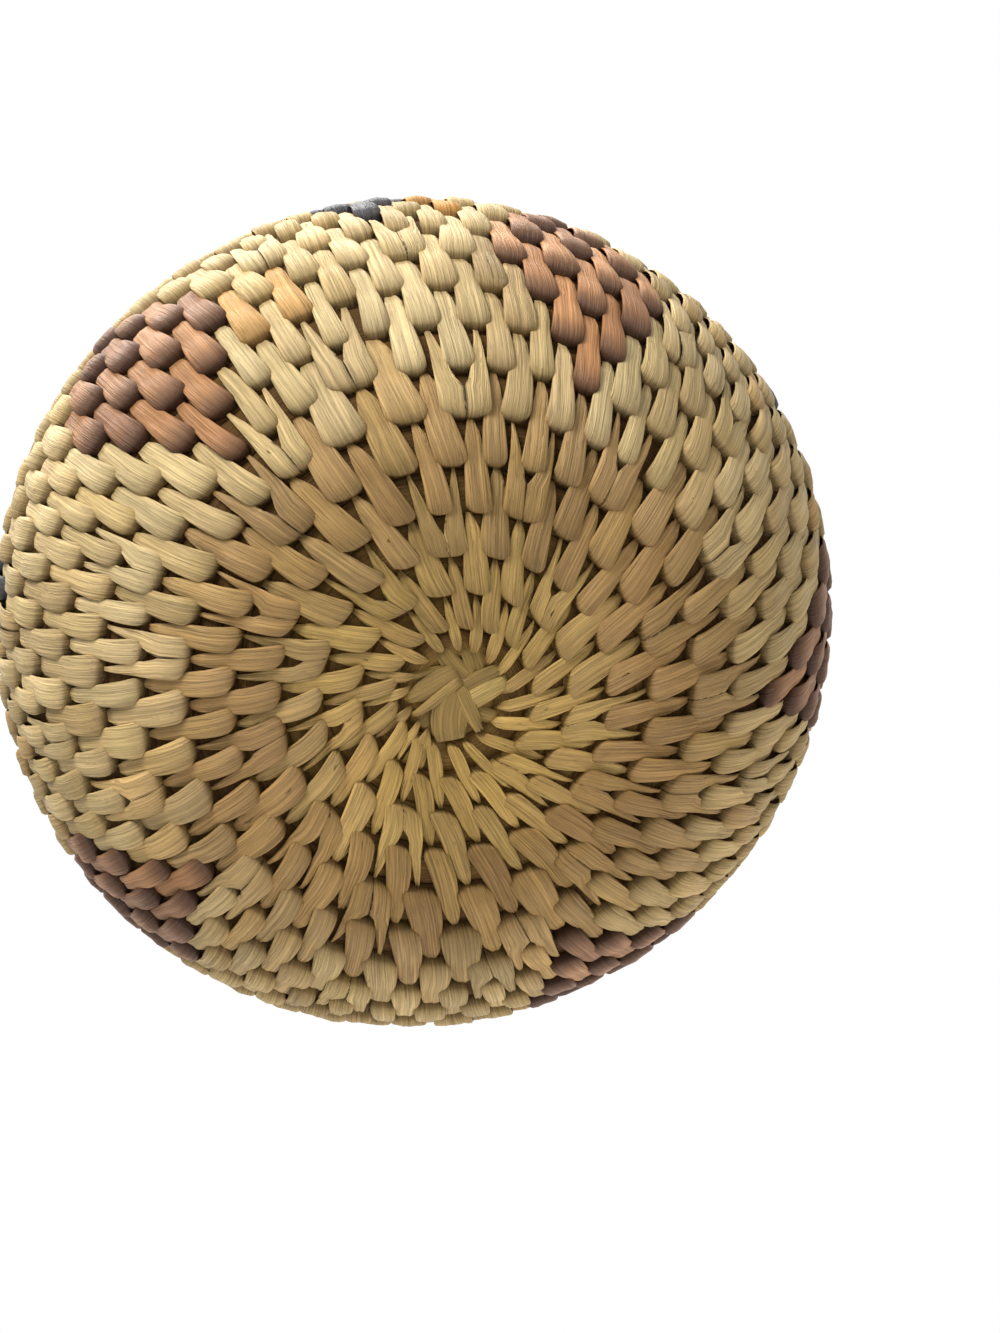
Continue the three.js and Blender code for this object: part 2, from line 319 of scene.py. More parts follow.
# The lowest tips of the brown diamonds and of the dark checks: angle in degrees, and round
DIAMOND_TIPS = [(63, 8.011), (141, 8.228), (-133.5, 8.465), (-67.5, 8.649), (3, 8.844)]
CHECK_TIPS = [(102, 13.119), (-176, 13.347), (-100.5, 13.557), (-32, 13.747), (33, 13.928)]
DIAMOND_HALF = 15
DIAMOND_DRIFT = -3


def turn_from(degrees, place):
    """The angle from a place on the basket, between -180 and 180 degrees."""
    return (degrees - place + 180) % 360 - 180


def degrees_at(rounds):
    return turn_from(360 * (rounds + START_TURN), 0)


def wanted_spacing(rounds):
    """The distance between stitches at their inner ends, small at the knot, then growing."""
    return float(np.interp(rounds, SPACING_ROUNDS, SPACINGS))


def body_lean(degrees, rounds):
    """How far the stitches lean, in degrees: more near the middle, and less on one side."""
    off = turn_from(degrees, UPRIGHT_SIDE) / UPRIGHT_WIDTH
    return np.interp(rounds, LEAN_ROUNDS, LEANS) * (1 - 0.4 * math.exp(-(off**2)))


def inside_diamond(rounds):
    """Whether a stitch is where a diamond goes, where the stitches stay one to one."""
    degrees = 360 * (rounds + START_TURN)
    for place, tip in DIAMOND_TIPS:
        off = turn_from(degrees, place + DIAMOND_DRIFT)
        if abs(off) < DIAMOND_HALF and tip - 0.7 < rounds < tip + 6:
            return True
    return False


print("spacing at the knot and at the rim:", wanted_spacing(1.2), "and", wanted_spacing(20), "mm")

# %% [markdown]
# ## Where the stitches go
# Each stitch runs outwards over two rounds. The next round's stitch starts in the middle
# between two stitches of the round before, so the stitches lie like bricks. As the base grows
# wider, the sewer splits a stitch into a V, which makes room for one more in the next round.
# The layout is worked out in the same way: a list of marks, one for each leg of each stitch,
# and every new stitch goes between the next two marks. Where the wall draws in again, a
# stitch spans three marks and one is dropped.

# %% Lay out the stitches
FIRST_STITCH = 1.2
FIRST_COUNT = 18
FIRST_JITTER = 0.16
LEG_PARTING = 0.36
LAST_STITCH = 0.45
UNSPLIT_ROUNDS = 1.1
SPLIT_ROOM = 1.6
SPLIT_SPARE = 0.5
MOST_SPARE = 2.2
DROP_SPARE = -0.7
EVENING = 0.3
MOST_EVENING = 0.12


def never(rounds):
    """For a wall without a pattern, where a stitch may be split or dropped anywhere."""
    return False


def lay_out(wall, first, spacing, lean, start_count, calm=never):
    """The stitches in the order they were sewn, each with its lean, legs and neighbours."""
    last = wall.last_round() - LAST_STITCH
    stitches = []
    marks = []

    def sew(u, legs, parents, gap):
        slope = math.tan(math.radians(lean(360 * (u + START_TURN), u)))
        middle = u - slope * wall.row / (2 * math.pi * float(wall.radius(wall.reach(u))))
        offsets = [0] if legs == 1 else [-LEG_PARTING * gap, LEG_PARTING * gap]
        for offset in offsets:
            marks.append({"at": middle + offset, "stitch": len(stitches), "left": -1, "right": -1})
        stitches.append({"u": u, "slope": slope, "legs": legs, "parents": parents, "beside": []})

    for step in range(start_count):
        jitter = FIRST_JITTER * rng.uniform(-1, 1)
        sew(first + (step + jitter) / start_count, 1, [], 1 / start_count)
    begin = 0
    while marks[begin]["at"] + marks[begin + 1]["at"] < 2 * (stitches[-1]["u"] - 1) + 1 / start_count:
        begin += 1
    spare = 0.0
    since = 0
    while True:
        left, right = marks[begin], marks[begin + 1]
        u = 1 + (left["at"] + right["at"]) / 2
        round_length = 2 * math.pi * float(wall.radius(wall.reach(u - 0.4)))
        near = marks[max(begin - 3, 0) : begin + 5]
        usual = (near[-1]["at"] - near[0]["at"]) / (len(near) - 1)
        nearby = usual * round_length / spacing(u)
        room = (right["at"] - left["at"]) * round_length / spacing(u)
        spare = min(spare + nearby - 1, MOST_SPARE)
        legs = 1
        since += 1
        even = calm(u) or u > last - UNSPLIT_ROUNDS
        wide = room > SPLIT_ROOM or (spare > SPLIT_SPARE and room > 0.98 * nearby)
        if since > 1 and wide and not even:
            legs = 2
            spare -= 1
            since = 0
        elif spare < DROP_SPARE and room < nearby and not even:
            right = marks[begin + 2]
            u = 1 + (left["at"] + right["at"]) / 2
            begin += 1
            spare += 1
        most = MOST_EVENING * usual
        u += float(np.clip(EVENING * (stitches[-1]["u"] + usual - u), -most, most))
        if u > last:
            break
        left["right"] = right["left"] = len(stitches)
        sew(u, legs, [left["stitch"], right["stitch"]], usual)
        begin += 1
    for mark in marks:
        stitches[mark["stitch"]]["beside"].append((mark["left"], mark["right"]))
    turns = [stitch["u"] for stitch in stitches]
    for number, stitch in enumerate(stitches):
        before, after = max(number - 1, 0), min(number + 1, len(stitches) - 1)
        stitch["gap"] = (turns[after] - turns[before]) / (after - before)
    return stitches


body_stitches = lay_out(
    body_wall, FIRST_STITCH, wanted_spacing, body_lean, FIRST_COUNT, calm=inside_diamond
)
per_round = np.bincount([int(stitch["u"]) for stitch in body_stitches])
print(len(body_stitches), "stitches on the body, by round:", per_round.tolist())

# %% [markdown]
# ## The diamonds
# Five brown diamonds stand on the lower wall. They come from the sewing itself: the sewer
# changes to dyed leaf for one stitch, then two beside each other in the next round, then three
# and four, and back to one. So a diamond spreads from its first stitch through the list of
# parents. A diamond grows if any parent is brown, and shrinks if both have to be.

# %% Dye the diamonds
DIAMOND_SIZE = 4


def nearest_stitch(stitches, rounds):
    return int(np.argmin([abs(stitch["u"] - rounds) for stitch in stitches]))


def grow_diamond(stitches, tip_round, size):
    """The numbers of the stitches of one diamond, from its lowest tip outwards."""
    row = {nearest_stitch(stitches, tip_round)}
    found = set(row)
    for step in range(1, 2 * size - 1):
        growing = step < size
        low = stitches[min(row)]["u"] + 0.7
        high = stitches[max(row)]["u"] + 1.3
        following = set()
        for number, stitch in enumerate(stitches):
            if not low < stitch["u"] < high:
                continue
            mine = [parent in row for parent in stitch["parents"]]
            if mine and (any(mine) if growing else all(mine)):
                following.add(number)
        row = following
        found |= row
        if not row:
            break
    return found


for stitch in body_stitches:
    stitch["dye"] = "straw"
for degrees, tip_round in DIAMOND_TIPS:
    diamond = grow_diamond(body_stitches, tip_round, DIAMOND_SIZE)
    for number in diamond:
        body_stitches[number]["dye"] = "brown"
    print("diamond at", degrees, "degrees:", len(diamond), "stitches")

# %% [markdown]
# ## Black checks and stains
# High on the shoulder, between two diamonds, the photograph shows the tip of a small black
# motif with cream in its middle. Here it is a small diamond with one pale stitch left in it.
# The other gaps between diamonds get the same motif, which is a guess. Beside it the leaf is
# stained orange, and a few strips next to the first diamond are orange-tan.

# %% Dye the checks and the stains
CHECK_SIZE = 3
STAINED = [(-91, 13.5, "stain"), (-94, 14.5, "stain"), (-120, 10.5, "tan"), (-113, 10.5, "tan")]

for degrees, tip_round in CHECK_TIPS:
    checks = grow_diamond(body_stitches, tip_round, CHECK_SIZE)
    rows = [body_stitches[number]["u"] for number in checks]
    centre = nearest_stitch(body_stitches, (min(rows) + max(rows)) / 2)
    for number in checks - {centre}:
        if body_stitches[number]["dye"] == "straw":
            body_stitches[number]["dye"] = "black"
for degrees, rounds, colour in STAINED:
    turns = (degrees / 360.0 - START_TURN) % 1
    stitch = body_stitches[nearest_stitch(body_stitches, round(rounds - turns) + turns)]
    if stitch["dye"] == "straw":
        stitch["dye"] = colour
print("black stitches:", sum(stitch["dye"] == "black" for stitch in body_stitches))

# %% [markdown]
# ## The curves of one stitch
# A leaf strip comes up out of the groove, swells into a wide rounded end, and narrows towards
# its outer end, where it dives under the next stitch of its line. The curves below give its
# height and its width along the way, and the crown across it. Along the strip, places are
# counted in rounds from its start, and it ends after two.

# %% Curves of a stitch
ALONG = np.array([0, 0.02, 0.05, 0.1, 0.2, 0.38, 0.6, 0.78, 0.9, 1.0, 1.15, 1.4, 1.7, 1.92, 2.0])
HEIGHT_AT = [0, 0.02, 0.05, 0.1, 0.2, 0.4, 0.65, 0.85, 1.0, 1.12, 1.4, 1.65, 1.85, 1.95, 2.0]
HEIGHTS = [0.4, 1.6, 2.5, 3.0, 3.4, 3.55, 3.4, 3.1, 2.75, 2.6, 2.65, 2.5, 2.0, 1.6, 1.1]
ACROSS = np.array([-1, -0.95, -0.8, -0.45, 0, 0.45, 0.8, 0.95, 1])
UNDER = np.array([0.7, 0, -0.7])
FULL_STRIP = 5.6

# Each row is one place along the stitch, and each column is a round: the strip's width there
# as a share of the distance between stitches
WIDTH_AT = np.array([0, 0.25, 1.0, 1.5, 2.0])
WIDTH_ROUNDS = np.array([1.5, 3.5, 6.5, 9.5])
WIDTHS = [
    [0.5, 0.52, 0.6, 0.6],
    [0.76, 0.73, 0.71, 0.67],
    [0.54, 0.5, 0.52, 0.51],
    [0.35, 0.34, 0.36, 0.4],
    [0.08, 0.09, 0.12, 0.24],
]


def crown(across):
    """How far a strip's surface drops from its middle to its rolled edges, for a wide strip."""
    a = np.abs(across)
    return 0.2 * a**2.2 + 0.5 * np.clip((a - 0.86) / 0.14, 0, 1) ** 2


print("a full strip's edge lies", crown(1.0), "mm below its middle")

# %% [markdown]
# ## Strips and their neighbours
# Small random differences keep any two strips from being alike, as in hand sewing. A strip
# also has to fit its neighbours: at its foot it fills its own gap, at its waist it passes
# between two stitches of the next round, and its tip ends in the room that they leave it.

# %% Strips as arrays
WAIST = 1.15
TIP = 1.9
V_WIDER = 1.28
ALONE = 0.4
PAST_END = 0.9


class Strips:
    """The stitches of one side of a wall as arrays, each with its own small differences.

    The narrow widths of the rounds near a knot are skipped for a coil that has no knot.
    """

    def __init__(self, wall, stitches, skipped):
        number = len(stitches)
        doubled = np.array([stitch["legs"] == 2 for stitch in stitches])
        self.wall = wall
        self.u, self.gap, self.slope = np.array([[s["u"], s["gap"], s["slope"]] for s in stitches]).T
        self.slope = self.slope + rng.normal(0, 0.035, number)
        self.widen = (1 + rng.normal(0, 0.06, number)) * np.where(doubled, V_WIDER, 1.0)
        self.lift = rng.normal(0, 0.17, number)
        self.fork = rng.uniform(0.62, 0.9, number)
        self.bow = rng.normal(0, 0.16, number)
        self.widths = [np.interp(self.u + skipped, WIDTH_ROUNDS, row) for row in WIDTHS]

    def reach(self, rounds):
        """The distance along the wall, which stops just past the wall's end."""
        return np.minimum(self.wall.reach(rounds), self.wall.end + PAST_END)

    def half_turns(self, index, v):
        """Half the width of a stitch, v rounds from its start, in turns."""
        share = 0
        for place, widths in enumerate(self.widths):
            share = share + widths[index] * np.interp(v, WIDTH_AT, np.eye(len(WIDTH_AT))[place])
        return 0.5 * share * self.gap[index] * self.widen[index]

    def lean_turns(self, index, v):
        """How far a stitch has leaned over, v rounds from its start, in turns."""
        begin = self.reach(self.u[index] - 0.5)
        s = self.reach(self.u[index] - 0.5 + v)
        return -self.slope[index] * (s - begin) / (2 * math.pi * self.wall.radius(s))

    def room(self, legs, place):
        """The room between the next round's stitches: its middle and half width, in turns."""
        owner, _, left, right = legs
        edges = []
        for beside, sign in ((left, 1), (right, -1)):
            index = np.maximum(beside, 0)
            known = self.u[index] - 1 - self.u[owner] + self.lean_turns(index, place - 1)
            known = known + sign * self.half_turns(index, place - 1)
            plain = self.lean_turns(owner, place) - sign * ALONE * self.half_turns(owner, place)
            edges.append(np.where(beside >= 0, known, plain))
        return (edges[0] + edges[1]) / 2, (edges[1] - edges[0]) / 2


def leg_list(stitches):
    """For every leg: its stitch, its hand, and the next round's stitches on its two sides."""
    legs = []
    for index, stitch in enumerate(stitches):
        hands = [0] if stitch["legs"] == 1 else [-1, 1]
        legs += [(index, hand, *beside) for hand, beside in zip(hands, stitch["beside"])]
    return np.array(legs, int).T[:, :, None, None]


print("legs on the body:", leg_list(body_stitches).shape[1])

# %% [markdown]
# ## The edges of a strip
# A plain strip runs straight from its own wide end to the room that the next round leaves it.
# A V stitch is two strips that share one end. Each leg has a straight outer edge. Its inner
# edge leaves the middle at the fork, goes round the next stitch, and meets the outer edge in
# a narrow tip. In the last round nothing comes between the strips, so they stay wide.

# %% Edges of the strips
FOOT = 0.25
WAIST_SHARE = 0.545
WAIST_PULL = 0.35
TIGHT = 0.1
FIT_LIMITS = (0.8, 1.2)
FREE_WIDTH = 0.48
NOTCH_GAP = 0.8


def strip_edges(strips, legs, v, turn_mm):
    """The middle and the half width of every strip, in turns, at every point of it."""
    owner, hand, left, right = legs
    foot = strips.lean_turns(owner, FOOT)
    waist, waist_half = strips.room(legs, WAIST)
    tip, tip_half = strips.room(legs, TIP)
    outwards = (v - FOOT) / (TIP - FOOT)
    off_line = waist - foot - (tip - foot) * WAIST_SHARE
    middle = foot + (tip - foot) * outwards
    middle = middle + WAIST_PULL * off_line * np.sin(math.pi * np.clip(outwards, 0, 1))
    widest = strips.half_turns(owner, TIP)
    fits = np.clip((tip_half - TIGHT / turn_mm) / widest, *FIT_LIMITS)
    half = strips.half_turns(owner, v) * (1 + (fits - 1) * smooth((v - 1) / 0.9))
    free = (left < 0) | (right < 0)
    wide = FREE_WIDTH * strips.gap[owner]
    half = np.where(free, half + (wide - half) * smooth((v - 0.75) / 0.35), half)

    narrow = np.clip(0.35 * tip_half, 0.1 * widest, 0.3 * widest)
    own_half = strips.half_turns(owner, np.minimum(v, FOOT))
    outer = foot + hand * own_half + (tip + hand * (narrow - own_half) - foot) * outwards
    notch = waist - hand * (waist_half + NOTCH_GAP / turn_mm)
    fork = strips.fork[owner]
    into = np.sqrt(np.clip((v - fork) / (WAIST - fork), 0, 1))
    inner = strips.lean_turns(owner, v) * (1 - into) + notch * into
    inner = inner + (tip - hand * narrow - notch) * np.clip((v - WAIST) / 0.8, 0, 1)
    middle = np.where(hand == 0, middle, (outer + inner) / 2)
    half = np.where(hand == 0, half, np.maximum(hand * (outer - inner) / 2, narrow))
    return middle, half


print("the waist of a strip is", WAIST, "rounds from its start, and its tip", TIP)

# %% [markdown]
# ## Rings for every stitch
# With its edges known, each strip becomes a row of rings. Its wide end is rounded, it never
# starts inside the knot, and near the knot it is pressed flatter and narrower. The surface
# gets its crown, a few soft creases and a slow wave. Leaf is thin, so the strip is a flat
# ribbon: its underside lies in the same surface. The strips inside get fewer points.

# %% Shape the stitches
LAST_PLACE = 2.07
SHORTEST = 0.8
FOOT_SWING = 4.5
UNDER_KNOT = 2.4
UNDER_PLUG = 1.2
KNOT_PRESS = 4
STEEPEST = 0.36


def strip_height(strips, owner, v0, c, drop, pressed):
    """How high a strip's surface stands over the middle of the wall."""
    base = np.interp(v0, HEIGHT_AT, HEIGHTS) + strips.lift[owner] * np.sin(math.pi * v0 / 2)
    phase = rng.uniform(0, 6.28, (4, len(owner)))[:, :, None, None]
    crease = 0.10 * np.sin(5.2 * c + phase[0] + 0.8 * v0) + 0.07 * np.sin(2.1 * c + phase[1])
    wave = 0.06 * np.sin(2.6 * v0 + phase[2]) + 0.04 * np.sin(5.1 * v0 + 2 * c + phase[3])
    return base * pressed - drop + (crease + wave) * np.clip(v0 * 3, 0, 1)


def stitch_rings(wall, stitches, side, coarse=False, size=1.0, skipped=0):
    """The rings of the stitches on one side of a wall, with their places on the leaf."""
    step = 2 if coarse else 1
    along, across = ALONG[::step], ACROSS[::step]
    strips = Strips(wall, stitches, skipped)
    legs = leg_list(stitches)
    owner, hand = legs[:2]
    u = strips.u[owner]
    around = np.concatenate([across, UNDER])
    v0 = along[None, :, None] * np.ones((len(owner), 1, len(around)))
    c = around * np.ones_like(v0)
    split = np.abs(hand) * smooth((v0 - strips.fork[owner]) / 0.3)
    whole_c = np.where(hand == 0, c, hand * 0.5 + c * 0.5)

    # Where the strip starts and ends
    innermost = wall.start - (UNDER_KNOT if wall.knotted else UNDER_PLUG)
    tilt = 0.12 * np.clip(strips.slope[owner], 0, STEEPEST)
    begin = 0.02 + 0.12 * np.abs(whole_c) ** 4 - tilt * whole_c
    begin = begin + np.clip((innermost - wall.reach(u - 0.5)) / FIRST_ROUND, 0, 1)
    stop = np.clip((wall.end - wall.reach(u - 0.5)) / wall.row, SHORTEST, LAST_PLACE)
    v = begin + (stop - begin) * v0 / 2
    turn_mm = 2 * math.pi * wall.radius(strips.reach(u - 0.5 + v))

    # Where its points lie along the wall and round it
    middle, half = strip_edges(strips, legs, v, turn_mm)
    sideways = FOOT_SWING * np.tan(strips.slope[owner]) * np.clip(1 - v, 0, 1) ** 2
    sideways = sideways + strips.bow[owner] * np.sin(math.pi * v0 / 2)
    middle = middle + sideways / turn_mm
    if wall.knotted:
        half = half * (0.5 + 0.5 * smooth((wall.reach(u - 0.5 + v) - innermost) / KNOT_PRESS))
    turns = middle + c * half
    half_mm = half * turn_mm
    s = np.clip(wall.reach(u + turns - 0.5 + v), innermost, wall.end + PAST_END)

    # How high they stand
    pressed = 0.45 + 0.55 * smooth((s - innermost) / KNOT_PRESS) if wall.knotted else 1
    drop = crown(whole_c * (1 - split) + c * split) * np.clip(half_mm * 2 / FULL_STRIP, 0.45, 1.1)
    height = strip_height(strips, owner, v0, c, drop, pressed) * size
    rings = wall.place(s, side * height, u + turns)
    seed = np.arange(len(owner))[:, None, None] + 0 * c
    leaf = np.stack([c * half_mm, v * wall.row, seed], -1)
    return {"rings": rings, "leaf": leaf, "owner": owner.ravel(), "u": u.ravel(), "v": v0}


shapes = stitch_rings(body_wall, body_stitches, 1)
print(shapes["rings"].shape, "points in the sewing of the body's outside")

# %% [markdown]
# ## The colours of the leaf
# Dried palm leaf runs from pale cream to olive and tan, strip by strip. The strips near the
# knot are the greenest, one side is paler, partly the leaf's own colour and partly painted
# light, and here and there a strip is much more orange. Near the knot the side away from the
# light is lightened, and so is the brown towards one side: painted light. Each strip is
# darkened at both ends, where it dives under its neighbours, and a brown strip most of all at
# its wide end: painted shade. The colours are written as they are seen on a screen.

# %% Leaf colours
CREAM = linear(224, 202, 152)
STRAW = linear(202, 173, 116)
OLIVE = linear(190, 160, 90)
TAN = linear(172, 134, 82)
ORANGE = linear(206, 164, 98)
BROWN = linear(182, 132, 86)
PLUM = linear(92, 56, 42)
BLACK = linear(52, 50, 54)
STAIN = linear(208, 152, 70)
WARM = linear(204, 160, 98)
# The dark brown that the leaf is blended towards where a strip dives under: painted shade
PAINTED_SHADE = linear(120, 92, 48)
# Sides of the body, in degrees: where the straw is paler, partly its own colour and partly painted light;
# the lit side; and where the brown gets painted light
PALE_SIDE = 65
LIT_SIDE = -105
BROWN_LIGHT_SIDE = -67


def blend(a, b, share):
    share = np.asarray(share, float)[..., None]
    return a * (1 - share) + b * share


def varied(colour, amount, count):
    """A colour for each of a number of strips, some a little lighter and some darker."""
    return colour * (1 + rng.normal(0, amount, count))[:, None]


def straw_tones(angle, rounds):
    """One colour for each straw strip, by where it is on the body and by chance."""
    count = len(angle)
    # Paler towards the lit side: partly the leaf's own colour, partly painted light
    pale = np.clip(0.5 - 0.5 * np.cos(np.radians(angle - PALE_SIDE)), 0, 1)
    green = smooth((4.9 - rounds) / 1.6)
    ripe = smooth((rounds - 3.9) / 1.0) * smooth((7.9 - rounds) / 1.2)
    tone = blend(STRAW, CREAM, 0.85 * pale)
    tone = blend(tone, TAN, 0.72 * ripe)
    tone = blend(tone, OLIVE, 0.8 * green)
    # Lighter near the knot on the side away from the lit side: painted light
    below = 0.5 - 0.5 * np.cos(np.radians(angle - LIT_SIDE))
    tone = tone * (1 + 0.3 * below * smooth((5.5 - rounds) / 3))[:, None]
    tone = tone * (1 - np.array([0.1, 0.17, 0.3]) * smooth((7.6 - rounds) / 2.2)[:, None])
    tone = blend(tone, OLIVE, np.clip(rng.normal(0.1, 0.16, count), 0, 0.6))
    tone = blend(tone, TAN, np.clip(rng.normal(0.05, 0.2, count), 0, 0.7))
    tone = blend(tone, ORANGE, np.where(rng.uniform(size=count) < 0.02, 0.6, 0))
    return varied(tone, 0.08, count)


def even_tones(count, angle, rounds):
    """Straw colours for the strips of an edge, which all lie in one round."""
    return straw_tones(np.full(count, float(angle)), np.full(count, float(rounds)))


print("halfway from straw to tan:", np.round(blend(STRAW, TAN, 0.5), 3))


# %% Colour the strips
def colour_points_with_light_and_shade(shapes, stitches, ripening=1.0):
    """Colours for all points of a set of stitches, with painted shade at the ends of each strip. A small
    coil ripens in fewer rounds.
    """
    owner, v = shapes["owner"], shapes["v"]
    count = len(stitches)
    rounds = ripening * np.array([s["u"] for s in stitches])
    angle = np.array([degrees_at(s["u"]) for s in stitches])
    dyes = np.array([s.get("dye", "straw") for s in stitches])
    tone = straw_tones(angle, rounds)
    brown = blend(BROWN, PLUM, 0.62 * rng.beta(1.1, 1.8, count))
    # Lighter brown towards one side, where one diamond gets more light: painted light
    brown = brown * (1 + 0.4 * np.exp(-(((angle - BROWN_LIGHT_SIDE) / 30) ** 2)))[:, None]
    black = varied(BLACK, 0.12, count)
    for name, colour in (("brown", brown), ("black", black), ("stain", STAIN), ("tan", WARM)):
        tone = np.where((dyes == name)[:, None], colour, tone)
    tone = tone[owner][:, None, None, :] * np.ones(v.shape + (1,))
    # Painted shade: a brown strip is darkened most towards its wide end, where it curves down into the
    # groove
    brown_end_shade = 0.85 * np.clip(1.1 - v / 0.6, 0, 1) * (dyes[owner] == "brown")[:, None, None]
    tone = blend(tone, PLUM * 0.6, brown_end_shade)
    # Painted shade: every strip is darkened towards both ends, where it dives under its neighbours, the
    # straw towards a dark brown and the dyed strips towards a darker copy of their own colour
    shade = np.maximum(0.8 * np.clip(1 - v / 0.17, 0, 1), 0.36 * np.clip(1 - v / 0.5, 0, 1))
    shade = np.maximum(shade, 0.6 * np.clip((v - 1.75) / 0.25, 0, 1))
    is_dyed = np.isin(dyes[owner], ["brown", "black"])[:, None, None, None]
    return blend(tone, np.where(is_dyed, tone * 0.35, PAINTED_SHADE), shade)


shapes["dye"] = colour_points_with_light_and_shade(shapes, body_stitches)
print("average colour of the body's sewing:", np.round(shapes["dye"].mean(axis=(0, 1, 2)), 3))

# %% [markdown]
# ## Leaf and bundle materials
# A strip of palm leaf has long parallel fibres, a satin sheen, and a few deeper folds along
# it. The noise is stretched along the strip by reading the place on the leaf, so the fibres
# follow every stitch. A fold is a thin line where the broad noise crosses its middle value.
# The bundle inside is coarse brown fibre, seen only in the gaps.

# %% Node helpers
FOLD_SCALE = (0.95, 0.04, 5.7)
FIBRE_SCALE = (3.7, 0.05, 3.1)
FIBRE_SHARE = 0.7
FOLD_SHADE = 0.78
FOLD_WIDTH = 0.03


def add_node(tree, kind, place, inputs=(), **settings):
    """A shader node. Each of its inputs is a number, a colour, or a socket to link from."""
    node = tree.nodes.new(f"ShaderNode{kind}")
    node.location = place
    for key, value in settings.items():
        setattr(node, key, value)
    for key, value in dict(inputs).items():
        if isinstance(value, bpy.types.NodeSocket):
            tree.links.new(value, node.inputs[key])
        else:
            node.inputs[key].default_value = value
    return node


def add_math(tree, operation, place, *values):
    return add_node(tree, "Math", place, enumerate(values), operation=operation).outputs[0]


def add_range(tree, place, value, before, after):
    """A node that turns a value in one range into a value in another."""
    inputs = {"Value": value}
    inputs.update(zip(("From Min", "From Max", "To Min", "To Max"), (*before, *after)))
    return add_node(tree, "MapRange", place, inputs).outputs["Result"]


def empty_tree(owner):
    owner.use_nodes = True
    owner.node_tree.nodes.clear()
    return owner.node_tree


print("the fibres' noise is drawn out", round(FIBRE_SCALE[0] / FIBRE_SCALE[1]), "times along a strip")


# %% Materials
def leaf_material(name, rough_low, rough_high, depth, contrast, specular=0.4):
    """A fibrous leaf or bundle material that takes its colour from the points."""
    material = bpy.data.materials.new(name)
    tree = empty_tree(material)
    place = add_node(tree, "Attribute", (-1300, 0), attribute_name="leaf_place").outputs["Vector"]
    noises = []
    for number, scale in enumerate([FOLD_SCALE, FIBRE_SCALE]):
        stretch = {"Scale": scale, "Vector": place}
        mapping = add_node(tree, "Mapping", (-1050, -300 * number), stretch)
        grain = {"Scale": 1.0, "Detail": 3.0, "Roughness": 0.6, "Vector": mapping.outputs[0]}
        noises.append(add_node(tree, "TexNoise", (-820, -300 * number), grain).outputs["Fac"])
    folds, fibres = noises
    mix = {0: FIBRE_SHARE, 2: folds, 3: fibres}
    mixed = add_node(tree, "Mix", (-560, -120), mix, data_type="FLOAT").outputs[0]
    off = add_math(tree, "SUBTRACT", (-560, -420), folds, 0.5)
    away = add_math(tree, "ABSOLUTE", (-400, -420), off)
    line = add_range(tree, (-240, -420), away, (0.0, FOLD_WIDTH), (FOLD_SHADE, 1.0))
    relief = add_math(tree, "MULTIPLY", (-80, -300), mixed, line)
    light_and_dark = (1 - contrast, 1 + 0.6 * contrast)
    tone = add_range(tree, (-340, 60), mixed, (0.32, 0.68), light_and_dark)
    # Along each fold line the colour is darkened: painted shade in the crease
    lined = add_math(tree, "MULTIPLY", (-100, 60), tone, line)
    dye = add_node(tree, "Attribute", (-560, 300), attribute_name="leaf_colour_and_shade").outputs["Color"]
    colour = add_node(
        tree, "VectorMath", (-100, 200), {0: dye, "Scale": lined}, operation="SCALE"
    )
    bumps = {"Strength": 0.9, "Distance": depth * MM, "Height": relief}
    finish = {
        "Base Color": colour.outputs["Vector"],
        "Roughness": add_range(tree, (-100, -60), mixed, (0.3, 0.7), (rough_high, rough_low)),
        "Specular IOR Level": specular,
        "Normal": add_node(tree, "Bump", (300, -300), bumps).outputs["Normal"],
    }
    shader = add_node(tree, "BsdfPrincipled", (600, 0), finish)
    add_node(tree, "OutputMaterial", (900, 0), {"Surface": shader.outputs["BSDF"]})
    return material


straw_leaf = leaf_material("straw_palm_leaf", 0.5, 0.7, 0.65, 0.5)
green_leaf = leaf_material("green_palm_leaf", 0.5, 0.7, 0.65, 0.42)
brown_leaf = leaf_material("brown_dyed_palm_leaf", 0.42, 0.64, 0.55, 0.4, specular=0.35)
black_leaf = leaf_material("black_dyed_palm_leaf", 0.38, 0.6, 0.5, 0.25, specular=0.5)
bundle_fibre = leaf_material("brown_fibre_bundle", 0.75, 0.9, 1.0, 0.4, specular=0.2)
print("materials:", [material.name for material in bpy.data.materials])

# %% [markdown]
# ## Sewing the body
# The stitches are made zone by zone, to match the stretches of bundle in the CAD model, and
# the dyed ones are pieces of their own. Each zone has its outside and its inside sewing.

# %% Sew the body
BODY_ZONES = [("base", 0, 5), ("heel", 5, 8), ("belly", 8, 12), ("shoulder", 12, 16), ("neck", 16, 30)]


def finish_piece(piece, material, slot, body="body", replaced=()):
    """Gives a piece its material, its body and the CAD nodes that it stands for. The slot is not used."""
    piece.data.materials.append(material)
    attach(piece, body)
    for node in replaced:
        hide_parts(node)


def sewn_piece(name, shapes, chosen=slice(None), leaf=straw_leaf, slot="straw_palm", **says):
    """A piece of the chosen strips of a set, on the body unless told otherwise."""
    piece = make_piece(name, *[shapes[key][chosen] for key in ("rings", "leaf", "dye")])
    finish_piece(piece, leaf, slot, **says)


